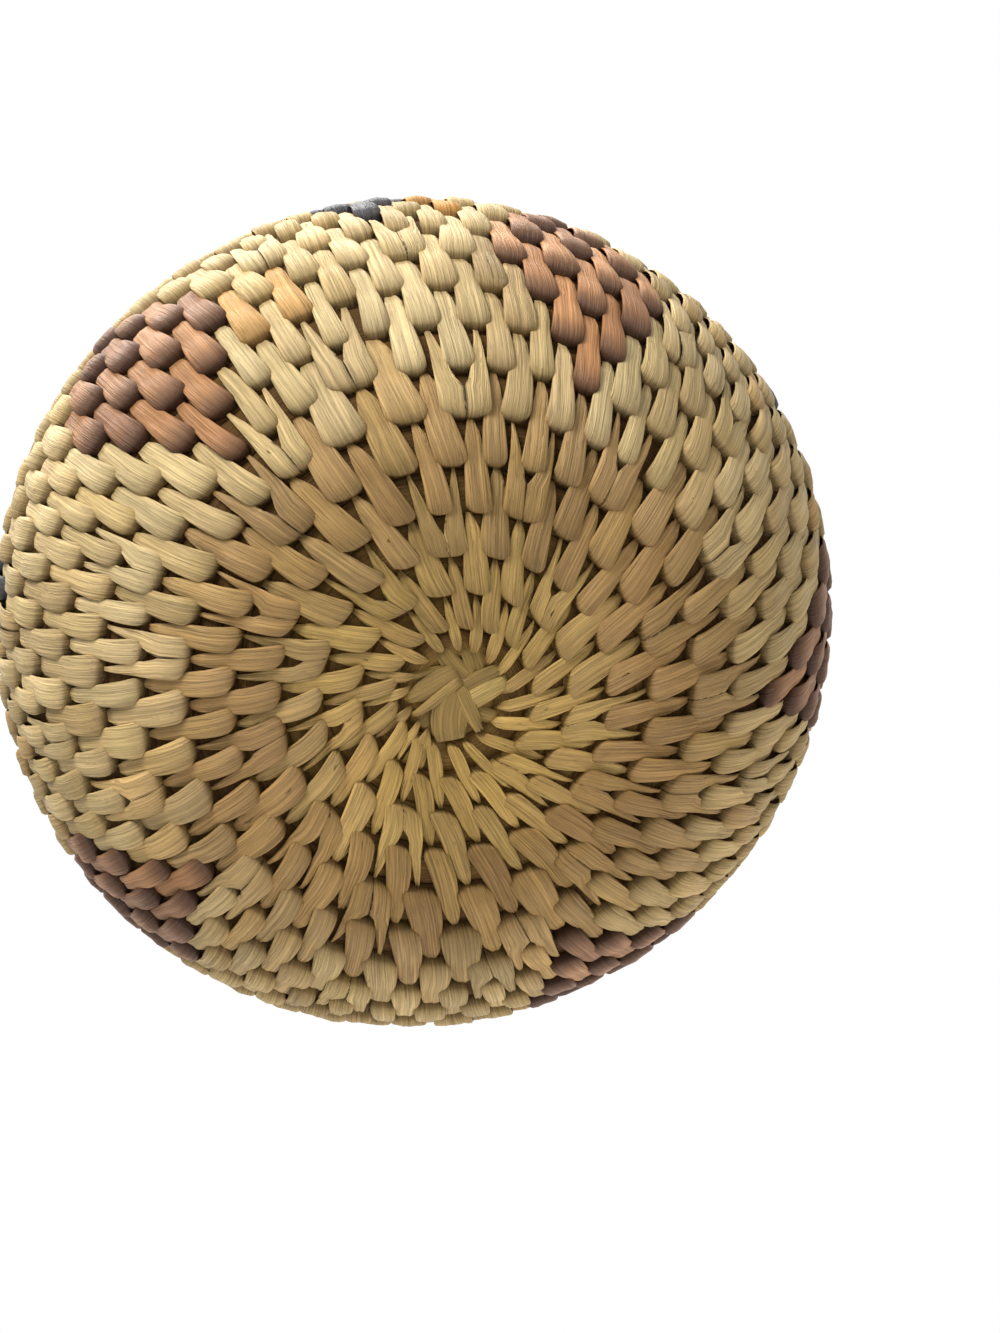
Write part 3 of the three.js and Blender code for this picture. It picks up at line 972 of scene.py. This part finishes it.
dyes = np.array([stitch["dye"] for stitch in body_stitches])[shapes["owner"]]
plain = np.isin(dyes, ["straw", "stain", "tan"])
for zone, low, high in BODY_ZONES:
    chosen = (shapes["u"] >= low) & (shapes["u"] < high) & plain
    sewn_piece(f"{zone}_outer_sewing", shapes, chosen)
sewn_piece("brown_diamonds", shapes, dyes == "brown", brown_leaf, slot="dark_palm")
sewn_piece("black_checks", shapes, dyes == "black", black_leaf, slot="black_dyed_palm")

inner = stitch_rings(body_wall, body_stitches, -1, coarse=True)
inner["dye"] = colour_points_with_light_and_shade(inner, body_stitches)
for zone, low, high in BODY_ZONES:
    sewn_piece(f"{zone}_inner_sewing", inner, (inner["u"] >= low) & (inner["u"] < high))

# %% [markdown]
# ## The bundle
# Under the sewing lies the bundle itself, a rope of coarse brown fibre. It follows the same
# winding, a little thinner than the wall, and its dark brown is partly the fibre's own colour
# and partly painted shade for the gaps between stitches.
# In the first rounds it is mostly leaf ends, which are paler. It stops just before the
# winding is full, because its end is tucked under the last stitches.

# %% Lay the bundle
BUNDLE_DEPTH = 1.6
BUNDLE_START = 1.5
BUNDLE_FIRST = 0.7
BUNDLE_STEPS = 56
BUNDLE_AROUND = 14
END_TUCK = 0.03
# The bundle's dark brown is partly the fibre's own colour and partly painted shade for the gaps
BUNDLE_BROWN_AND_SHADE = linear(100, 72, 38)
LEAF_ENDS = linear(152, 118, 64)


def bundle_rings(wall, low_round, high_round, size=1.0):
    """One tube along the winding, between two numbers of rounds."""
    high_round = min(high_round, wall.last_round() - END_TUCK)
    u = np.linspace(low_round, high_round, int((high_round - low_round) * BUNDLE_STEPS))[:, None]
    low = np.maximum(wall.reach(u - 0.5), BUNDLE_START * size)
    high = np.minimum(np.maximum(wall.reach(u + 0.5), BUNDLE_START * size), wall.end)
    wide = np.maximum(high - low, 0.6)
    t = np.linspace(0, 2 * math.pi, BUNDLE_AROUND, endpoint=False)[None, :]
    across = np.cos(t) * 1.05
    whole = wall.reach(u + 0.5) - wall.reach(u - 0.5)
    depth = BUNDLE_DEPTH * size * (0.5 + 0.5 * np.clip(wide / whole, 0, 1))
    wobble = 0.12 * np.sin(u * 41 + 3 * t) + 0.1 * np.sin(u * 97)
    height = np.sign(np.sin(t)) * np.abs(np.sin(t)) ** 0.8 * (depth + wobble)
    u = u * np.ones_like(across)
    rings = wall.place((low + high) / 2 + across * wide / 2, height, u)
    leaf = np.stack([across * 4 + 0 * u, u * 300, 0 * u], -1)
    dye = blend(BUNDLE_BROWN_AND_SHADE, LEAF_ENDS, smooth((6.5 - u) / 3))
    return rings[None], leaf[None], dye[None]


def lay_bundle(name, node, body, *shape, size=1.0):
    piece = make_piece(name, *bundle_rings(*shape, size=size))
    finish_piece(piece, bundle_fibre, "straw_palm", body, [node])


for zone, low, high in BODY_ZONES:
    lay_bundle(f"{zone}_bundle", f"{zone}_coil", "body", body_wall, max(low, BUNDLE_FIRST), high)
print("bundle laid from the knot to the rim")

# %% [markdown]
# ## The knot
# The basket was begun with a knot of leaf strips folded over each other. In the photograph a
# frayed fan lies over a folded strip, and narrower strips run out from under them. Each strip
# is drawn by a few points and widths as seen from outside, and a level says what lies on top.
# The ends dive down, except the frayed ones. The lid's knot is a guess with the same strips.

# %% Fold the knots
KNOT_STRIPS = [
    (0.4, [(4.6, -3.6, 1.6), (3.8, -6.2, 1.9), (2.9, -8.9, 1.2)], 0.0, (158, 134, 76)),
    (0.4, [(3.0, -2.8, 1.7), (2.2, -5.6, 1.9), (1.0, -8.7, 1.2)], 0.0, (172, 148, 86)),
    (0.9, [(2.4, -2.6, 2.8), (-0.4, -5.0, 3.6), (-2.9, -8.3, 2.6)], 0.0, (166, 141, 82)),
    (0.7, [(-0.6, -4.4, 1.4), (-4.0, -4.0, 2.0), (-8.6, -2.9, 1.2)], 0.0, (158, 134, 74)),
    (0.3, [(-2.0, 2.0, 2.5), (-4.6, 4.4, 3.0), (-6.2, 6.4, 1.8)], 0.0, (150, 126, 68)),
    (0.5, [(3.0, 2.6, 2.4), (5.2, 3.8, 3.0), (8.2, 4.4, 1.8)], 0.0, (160, 136, 76)),
    (1.7, [(0.6, -0.9, 3.0), (4.4, -2.9, 3.2), (8.6, -5.1, 1.9)], 0.0, (156, 132, 72)),
    (2.2, [(1.4, 1.9, 3.2), (5.3, -0.5, 3.9), (9.4, -2.8, 1.9)], 0.0, (196, 172, 104)),
    (2.0, [(0.4, -4.2, 3.4), (-3.9, -1.7, 4.6), (-9.0, 1.1, 1.3)], 0.0, (166, 141, 80)),
    (3.0, [(0.9, -2.9, 1.9), (-3.3, 0.7, 2.1), (-7.6, 3.9, 0.9)], 0.0, (174, 149, 86)),
    (2.7, [(0.3, -1.8, 2.2), (-0.9, 2.9, 6.6), (-0.7, 7.4, 5.4)], 0.9, (172, 147, 87)),
    (3.1, [(0.5, -1.6, 1.7), (2.2, 2.0, 3.0), (4.4, 6.3, 1.5)], 0.5, (178, 153, 92)),
]
KNOT_TONE = [0.95, 0.88, 0.8]
KNOT_BED = 1.9
LEVEL_STEP = 0.42
END_SHARE = 0.14


def knot_rings(place):
    """All strips of a knot. place(x, y, up) puts a point of it on the basket, in millimetres."""
    t = np.linspace(0, 1, 14)[:, None]
    around = np.concatenate([ACROSS, UNDER])
    number_around = np.arange(len(around))
    c = around * np.ones_like(t)
    zigzag = np.where(number_around % 2 == 0, 1.0, -0.6)
    rings, leaf, dye = [], [], []
    for number, (level, points, fray, colour) in enumerate(KNOT_STRIPS):
        x, y, width = [
            np.polyval(np.polyfit([0, 0.5, 1], values, 2), t) for values in zip(*points)
        ]
        along_x, along_y = np.gradient(x, axis=0), np.gradient(y, axis=0)
        length = np.hypot(along_x, along_y)
        along_x, along_y = along_x / length, along_y / length
        push = fray * zigzag * np.clip((t - 1 + END_SHARE) / END_SHARE, 0, 1)
        half = width / 2
        px = x - along_y * c * half + along_x * push
        py = y + along_x * c * half + along_y * push
        rise = 0.5 * (1 - np.abs(c) ** 2.6) + 0.06 * np.sin(7 * c + number)
        dive = 0.9 * (1 - np.clip((1 - t) / END_SHARE, 0, 1)) ** 2 * (fray == 0)
        dive = dive + 0.5 * (1 - np.clip(t / END_SHARE, 0, 1)) ** 2
        up = level * LEVEL_STEP + np.where(number_around < len(ACROSS), rise, -0.3) - dive
        rings.append(place(px, py, up))
        run = np.hypot(x - x[0], y - y[0])
        leaf.append(np.stack([c * half, run + 0 * c, number + 90 + 0 * c], -1))
        # Painted shade: the start of each strip is darkened where it dives under the others
        shade = 0.45 * np.clip(1 - t / 0.12, 0, 1) + 0 * c
        dye.append(blend(linear(*colour) * KNOT_TONE, PAINTED_SHADE * 0.6, shade))
    return np.array(rings), np.array(leaf), np.array(dye)


def on_base(x, y, up):
    return np.stack([x, y, np.maximum(KNOT_BED - up, 0.02)], -1)


def on_lid(x, y, up):
    return np.stack([x, -y, LID_APEX + HALF_WALL - KNOT_BED + up], -1)


STRIP_NODES = [f"{way}_strip_{side}" for way in ("long", "cross") for side in ("left", "middle", "right")]
for part, body, place in (("base", "body", on_base), ("lid", "lid", on_lid)):
    knot = make_piece(f"{part}_knot_strips", *knot_rings(place))
    nodes = [f"{part}_knot_{node}" for node in STRIP_NODES]
    finish_piece(knot, green_leaf, "green_palm", body, nodes)
print("two knots of", len(KNOT_STRIPS), "strips")

# %% [markdown]
# ## Bound edges
# The mouth rim and the lid's edge are single level rounds, each bound with leaf strips that
# wrap right over it, side by side. The rim's strips are dyed black, with a straw one here and
# there. Each strip follows the round's oval section and leans a little.

# %% Bind the rim and the lid's edge
RIM_STRIPS = 60
EDGE_STRIPS = 62
EDGE_WIDTH = 3.3
EDGE_DEPTH = 2.8
WRAP_WIDTH = 3.9
WRAP_LEAN = math.tan(math.radians(22))
WRAP_FILL = 0.97
WRAP_ACROSS = np.concatenate([ACROSS[[0, 1, 2, 4, 6, 7, 8]], UNDER])
WRAP_TOP = np.arange(len(WRAP_ACROSS)) < len(WRAP_ACROSS) - len(UNDER)
WRAP_FROM_TO = np.radians([-88, 268])


def lay_edge(name, node, body, wall, centre, count=96, around=12):
    """The bundle inside a bound edge, closed on itself."""
    turns = np.linspace(0, 1, count, endpoint=False)[:, None]
    t = np.linspace(0, 2 * math.pi, around, endpoint=False)[None, :]
    flat = 0 * turns + 0 * t
    rings = wall.place(centre + EDGE_WIDTH * np.sin(t) + flat, EDGE_DEPTH * np.cos(t) + flat, turns + flat)
    leaf = np.stack([t * 2 + flat, turns * 300 + flat, flat], -1)
    dye = np.broadcast_to(BUNDLE_BROWN_AND_SHADE, leaf.shape)
    piece = make_piece(name, rings[None], leaf[None], dye[None], closed=True)
    finish_piece(piece, bundle_fibre, "straw_palm", body, [node])


def binding(wall, centre, depth, count):
    """Strips wrapped round a level edge from one groove over the free edge to the other."""
    c = WRAP_ACROSS * np.ones((count, 17, 1))
    t = np.linspace(*WRAP_FROM_TO, 17)[:, None] + 0 * c
    place = (np.arange(count) + rng.uniform(-0.07, 0.07, count))[:, None, None] / count
    radius = wall.radius(np.array(centre))
    half = math.pi * radius / count * (WRAP_FILL + rng.normal(0, 0.03, count))[:, None, None]
    slope = WRAP_LEAN + rng.normal(0, 0.05, count)[:, None, None]
    run = (t - math.pi / 2) * (WRAP_WIDTH + depth) / 2
    turns = place + (c * half + slope * run) / (2 * math.pi * radius)
    lift = rng.normal(0, 0.07, count)[:, None, None]
    phase = rng.uniform(0, 6.28, (2, count))[:, :, None, None]
    crease = 0.05 * np.sin(5 * c + phase[0]) + 0.04 * np.sin(2.3 * c + phase[1])
    out = np.where(WRAP_TOP, lift + crease - 0.75 * crown(c), -0.9)
    tuck = np.clip(np.minimum(t - t.min(), t.max() - t) / 0.35, 0, 1)
    out = out - 0.8 * (1 - tuck) ** 2
    rings = wall.place(centre + (WRAP_WIDTH + out) * np.sin(t), (depth + out) * np.cos(t), turns)
    leaf = np.stack([c * half, run, np.arange(count)[:, None, None] + 0 * c], -1)
    return {"rings": rings, "leaf": leaf}


def dye_strips(wraps, tones):
    wraps["dye"] = tones[:, None, None, :] * np.ones(wraps["leaf"].shape[:-1] + (1,))


lay_edge("mouth_rim_bundle", "mouth_rim_round", "body", body_wall, TO_RIM)
rim = binding(body_wall, TO_RIM, 3.5, RIM_STRIPS)
straw_one = np.arange(RIM_STRIPS) % 5 == 2
dye_strips(rim, varied(BLACK, 0.12, RIM_STRIPS))
sewn_piece("mouth_rim_black_binding", rim, ~straw_one, black_leaf, slot="black_dyed_palm")
dye_strips(rim, even_tones(RIM_STRIPS, 0, 12))
sewn_piece("mouth_rim_straw_binding", rim, straw_one)

lay_edge("lid_edge_bundle", "lid_edge_round", "lid", lid_wall, LID_LENGTH)
edge = binding(lid_wall, LID_LENGTH, 3.4, EDGE_STRIPS)
dye_strips(edge, even_tones(EDGE_STRIPS, -115, 12))
sewn_piece("lid_edge_binding", edge, body="lid")
print("rim strips:", RIM_STRIPS, "lid edge strips:", EDGE_STRIPS)

# %% [markdown]
# ## The lid
# The lid is wound and sewn as the base is, from a knot of its own, over a shallow dome. The
# photograph shows none of it, so it is kept plain: straw sewing in the same brick layout,
# leaning a little more halfway out. It is small, so its leaf turns pale in fewer rounds.

# %% Sew the lid
LID_RIPENING = 1.9


def lid_lean(degrees, rounds):
    return 14.0 + 12 * math.exp(-(((rounds - 4.2) / 1.9) ** 2))


lid_stitches = lay_out(lid_wall, FIRST_STITCH, wanted_spacing, lid_lean, FIRST_COUNT)
for name, side in (("outer", 1), ("inner", -1)):
    lid_shapes = stitch_rings(lid_wall, lid_stitches, side, coarse=side < 0)
    lid_shapes["dye"] = colour_points_with_light_and_shade(lid_shapes, lid_stitches, LID_RIPENING)
    sewn_piece(f"lid_{name}_sewing", lid_shapes, body="lid")
lay_bundle("lid_bundle", "lid_coil", "lid", lid_wall, BUNDLE_FIRST, MOST_ROUNDS)
print(len(lid_stitches), "stitches on the lid")

# %% [markdown]
# ## The collar
# The collar is a short upright coil of two rounds under the lid, which drops into the mouth
# and keeps the lid from sliding. Its strips wrap round it from the lid down and up again.

# %% Wrap the collar
COLLAR_RADIUS = 41.4
COLLAR_HALF = 3.0
COLLAR_STRIPS = 50
collar_low, collar_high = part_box("lid_collar_coil")
collar_bottom = collar_low.z / MM + 0.2
collar_top = collar_high.z / MM - 0.4


def collar_path(t):
    """The outline of the collar's section, from the top of its outside round to its inside."""
    straight = collar_top - collar_bottom - COLLAR_HALF
    bend = math.pi * COLLAR_HALF
    d = t * (2 * straight + bend)
    turn = np.clip((d - straight) / COLLAR_HALF, 0, math.pi)
    up = np.clip(d - straight - bend, 0, straight)
    z = collar_top - np.minimum(d, straight) + up - COLLAR_HALF * np.sin(turn)
    groove = 0.55 * np.exp(-(((z - (collar_bottom + collar_top) / 2) / 1.1) ** 2))
    return COLLAR_RADIUS + (COLLAR_HALF - groove) * np.cos(turn), z, turn


def collar_binding():
    t = np.linspace(0, 1, 25)[:, None]
    c = WRAP_ACROSS * np.ones((COLLAR_STRIPS, len(t), 1))
    path_r, path_z, turn = collar_path(t)
    half = math.pi * COLLAR_RADIUS / COLLAR_STRIPS * WRAP_FILL
    out = np.where(WRAP_TOP, 0.1 - 0.6 * crown(c), -0.8)
    r = path_r + out * np.cos(turn)
    z = path_z - out * np.sin(turn)
    number = np.arange(COLLAR_STRIPS)[:, None, None] + 0 * c
    sway = 0.09 * np.sin(turn - math.pi / 2)
    angle = 2 * math.pi * (number / COLLAR_STRIPS) + c * half / COLLAR_RADIUS + sway
    rings = np.stack([r * np.cos(angle), r * np.sin(angle), z], -1)
    return {"rings": rings, "leaf": np.stack([c * half, t * 25 + 0 * c, number], -1)}


collar = collar_binding()
dye_strips(collar, even_tones(COLLAR_STRIPS, -60, 10))
sewn_piece("lid_collar_binding", collar, body="lid", replaced=["lid_collar_coil"])
print("collar from", round(collar_bottom, 1), "to", round(collar_top, 1), "mm high")

# %% [markdown]
# ## The knob
# The knob is a thin bundle wound tightly round a plug, in about three small rounds, and sewn
# like the rest but finer. It has no knot, so its strips are wide from the start, and their
# number stays the same. A brown twisted end fills the hole at its top.

# %% Wind the knob
KNOB_ROUND = 4.6
KNOB_BEND = 6.0
KNOB_LEAN = math.radians(60)
KNOB_HALF = 2.0
KNOB_WIDEST = 12.0 - KNOB_HALF
KNOB_TURN = math.pi - KNOB_LEAN
KNOB_LENGTH = KNOB_BEND * KNOB_TURN
KNOB_SIZE = 0.62
KNOB_BUNDLE = 0.9
KNOB_SPACING = 4.0
KNOB_STITCH_LEAN = 12.0
KNOB_FIRST = -0.4
KNOB_COUNT = 17
KNOB_SKIPPED = 9
KNOB_RIPENING = 12.0
knob_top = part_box("knob_coil")[1].z / MM
knob_start = KNOB_WIDEST - KNOB_BEND * (1 - math.sin(KNOB_LEAN))
knob_z = knob_top - KNOB_HALF - KNOB_BEND * (1 + math.cos(KNOB_LEAN)) + 0.25
knob_line = middle_line(knob_start, knob_z, KNOB_LEAN, [(KNOB_LENGTH, KNOB_TURN)])


def knob_reach(rounds):
    return KNOB_ROUND * np.asarray(rounds, float)


def always(rounds):
    """On the knob no stitch is split or dropped."""
    return True


knob_wall = Wall(knob_line, knob_reach, 1, 0.0, KNOB_LENGTH, row=KNOB_ROUND)
knob_stitches = lay_out(
    knob_wall,
    KNOB_FIRST,
    lambda rounds: KNOB_SPACING,
    lambda degrees, rounds: KNOB_STITCH_LEAN,
    KNOB_COUNT,
    calm=always,
)
knob_shapes = stitch_rings(knob_wall, knob_stitches, 1, size=KNOB_SIZE, skipped=KNOB_SKIPPED)
knob_shapes["dye"] = colour_points_with_light_and_shade(knob_shapes, knob_stitches, KNOB_RIPENING)
sewn_piece("knob_sewing", knob_shapes, body="lid")
lay_bundle("knob_bundle", "knob_coil", "lid", knob_wall, 0.2, MOST_ROUNDS, size=KNOB_BUNDLE)
print(len(knob_stitches), "stitches on the knob, which tops out at", round(knob_top, 1))

# %% [markdown]
# ## The plug
# The middle of the knob is closed by a twisted brown end of leaf, which is a guess. It is a
# turned shape whose strands run up and round it, so its sides are fluted.

# %% Twist the plug
PLUG_RADII = [6.9, 6.9, 5.6, 4.0, 3.5, 3.6, 3.3, 2.4, 1.2, 0.3]
PLUG_HEIGHTS = [119.4, 121.0, 124.0, 126.6, 128.4, 129.7, 130.4, 130.8, 131.0, 131.05]
PLUG_STRANDS = 9
PLUG_TWIST = 2.4
plug_t = np.linspace(0, 1, 36)[:, None]
plug_at = np.linspace(0, 1, len(PLUG_RADII))
plug_turn = np.linspace(0, 2 * math.pi, 108, endpoint=False)[None, :]
twist = plug_turn + PLUG_TWIST * plug_t
groove = np.abs(np.sin(PLUG_STRANDS * twist / 2)) ** 0.55 - 1
plug_r = np.interp(plug_t, plug_at, PLUG_RADII) * (1 + 0.13 * groove)
plug_z = np.interp(plug_t, plug_at, PLUG_HEIGHTS) + 0.3 * groove * plug_t**4
plug_rings = np.stack([plug_r * np.cos(plug_turn), plug_r * np.sin(plug_turn), plug_z], -1)
strand = (PLUG_STRANDS * twist / (2 * math.pi)) % 1
plug_leaf = np.stack([strand * 2.4, plug_t * 16 + 0 * strand, 0 * strand + 41], -1)
# Darker in the grooves between the strands: painted shade
plug_colour_and_groove_shade = blend(BROWN, PLUM, 0.55 - 0.3 * (1 + groove)) * 0.8
plug = make_piece("knob_plug_strands", plug_rings[None], plug_leaf[None], plug_colour_and_groove_shade[None])
finish_piece(plug, brown_leaf, "dark_palm", "lid", ["knob_plug"])
print("plug of", PLUG_STRANDS, "strands")

# %% [markdown]
# ## Floor and room
# The camera looks up at the underside of the basket, as the photograph does. So the floor
# lets it through from below, shows only from above, and stops no lamp. The room is plain
# white where it is seen, and dimmer where it only lights the basket.

# %% Floor
FLOOR_RADIUS = 4.0
FLOOR_RINGS = 6
FLOOR_AROUND = 48
FLOOR_DROP = -0.0004
FLOOR_COLOUR = (0.86, 0.86, 0.85, 1)
ROOM_STRENGTH = 0.54


def seen_directly(tree, place):
    """1 for what the camera sees straight, in a gloss or through glass, and 0 for the rest."""
    rays = add_node(tree, "LightPath", place).outputs
    x, y = place
    bounce = add_math(tree, "MAXIMUM", (x + 200, y), rays["Is Camera Ray"], rays["Is Glossy Ray"])
    return add_math(tree, "MAXIMUM", (x + 400, y), bounce, rays["Is Transmission Ray"])


def floor_material():
    """A pale floor that the camera sees from above, and that lets other rays pass."""
    material = bpy.data.materials.new("pale_floor")
    tree = empty_tree(material)
    side = add_node(tree, "NewGeometry", (-300, -300)).outputs["Backfacing"]
    front = add_math(tree, "SUBTRACT", (-100, -300), 1.0, side)
    shown = add_math(tree, "MULTIPLY", (50, 100), seen_directly(tree, (-500, 100)), front)
    clear = add_node(tree, "BsdfTransparent", (250, 120))
    pale = add_node(tree, "BsdfDiffuse", (250, -120), {"Color": FLOOR_COLOUR})
    mix = add_node(tree, "MixShader", (500, 0), {0: shown, 1: clear.outputs[0], 2: pale.outputs[0]})
    add_node(tree, "OutputMaterial", (700, 0), {"Surface": mix.outputs[0]})
    return material


def wide_floor():
    """A round floor, finely divided in the middle."""
    points = [(0.0, 0.0, FLOOR_DROP)]
    faces = []
    for ring in range(FLOOR_RINGS):
        away = FLOOR_RADIUS * ((ring + 1) / FLOOR_RINGS) ** 2
        for step in range(FLOOR_AROUND):
            angle = 2 * math.pi * step / FLOOR_AROUND
            points.append((away * math.cos(angle), away * math.sin(angle), FLOOR_DROP))
            a, b = (1 + ring * FLOOR_AROUND + k % FLOOR_AROUND for k in (step, step + 1))
            faces.append((a - FLOOR_AROUND, a, b, b - FLOOR_AROUND) if ring else (0, a, b))
    mesh = bpy.data.meshes.new("floor")
    mesh.from_pydata(points, [], faces)
    mesh.materials.append(floor_material())
    return add_object("floor", mesh)


floor = wide_floor()
print("floor normal", floor.data.polygons[0].normal[:])

# %% Room
world = bpy.data.worlds.new("pale_room")
bpy.context.scene.world = world
sky = empty_tree(world)
dim = {"Color": (1.0, 0.99, 0.97, 1), "Strength": ROOM_STRENGTH}
sky_dim = add_node(sky, "Background", (0, -120), dim).outputs[0]
sky_white = add_node(sky, "Background", (0, 80), {"Color": (1, 1, 1, 1), "Strength": 1.0}).outputs[0]
sky_seen = seen_directly(sky, (-600, 200))
sky_mix = add_node(sky, "MixShader", (200, 0), {0: sky_seen, 1: sky_dim, 2: sky_white})
add_node(sky, "OutputWorld", (400, 0), {"Surface": sky_mix.outputs[0]})
print("nodes in the room's shader:", len(sky.nodes))

# %% [markdown]
# ## Camera and lamps
# The camera's place and its turn were found by fitting the rows of the basket to those in the
# photograph. Three square lamps light it: a small one low at the camera's upper left, which
# gives the stitches their shadows, a larger one from above on the same side for the views of
# the lid, and a weak one low at the camera's lower right.

# %% Camera
CAMERA_PLACE = Vector((-87.9, -164.6, -530.7)) * MM
CAMERA_RIGHT = Vector((0.9855, -0.0488, -0.1626))
CAMERA_UP = Vector((0.0, -0.9579, 0.2872))
camera_back = CAMERA_RIGHT.cross(CAMERA_UP).normalized()
camera_up = camera_back.cross(CAMERA_RIGHT).normalized()
camera_data = bpy.data.cameras.new("camera")
camera = add_object("camera", camera_data)
turn = Matrix((CAMERA_RIGHT.normalized(), camera_up, camera_back)).transposed()
camera.matrix_world = Matrix.Translation(CAMERA_PLACE) @ turn.to_4x4()
camera_data.sensor_width = 36
camera_data.lens = 86.12
camera_data.clip_start = 0.01
camera_data.clip_end = 20
bpy.context.scene.camera = camera
bpy.context.scene.view_settings.view_transform = "Standard"
print("camera looks along", [round(x, 3) for x in -camera_back])

# %% Lamps
MIDDLE = Vector((0, 0, 0.03))
KEY_PLACE = MIDDLE + 0.82 * Vector((-0.54, -0.81, -0.23))
ABOVE_PLACE = Vector((-0.25, -0.65, 0.85))
FILL_PLACE = MIDDLE + 0.9 * Vector((0.3, 0.82, -0.48))


def soft_lamp(name, place, size, power, colour):
    """A square area lamp aimed at the middle of the basket."""
    data = bpy.data.lights.new(name, "AREA")
    data.shape = "SQUARE"
    data.size = size
    data.energy = power
    data.color = colour
    lamp = add_object(name, data)
    lamp.location = place
    lamp.rotation_mode = "QUATERNION"
    lamp.rotation_quaternion = (MIDDLE - place).to_track_quat("-Z", "Y")


soft_lamp("key_from_below", KEY_PLACE, 0.3, 6.8, (1.0, 0.97, 0.92))
soft_lamp("soft_from_above", ABOVE_PLACE, 0.6, 13.0, (1.0, 0.98, 0.95))
soft_lamp("fill_from_the_front", FILL_PLACE, 0.5, 3.8, (1.0, 0.96, 0.9))
print("three lamps")
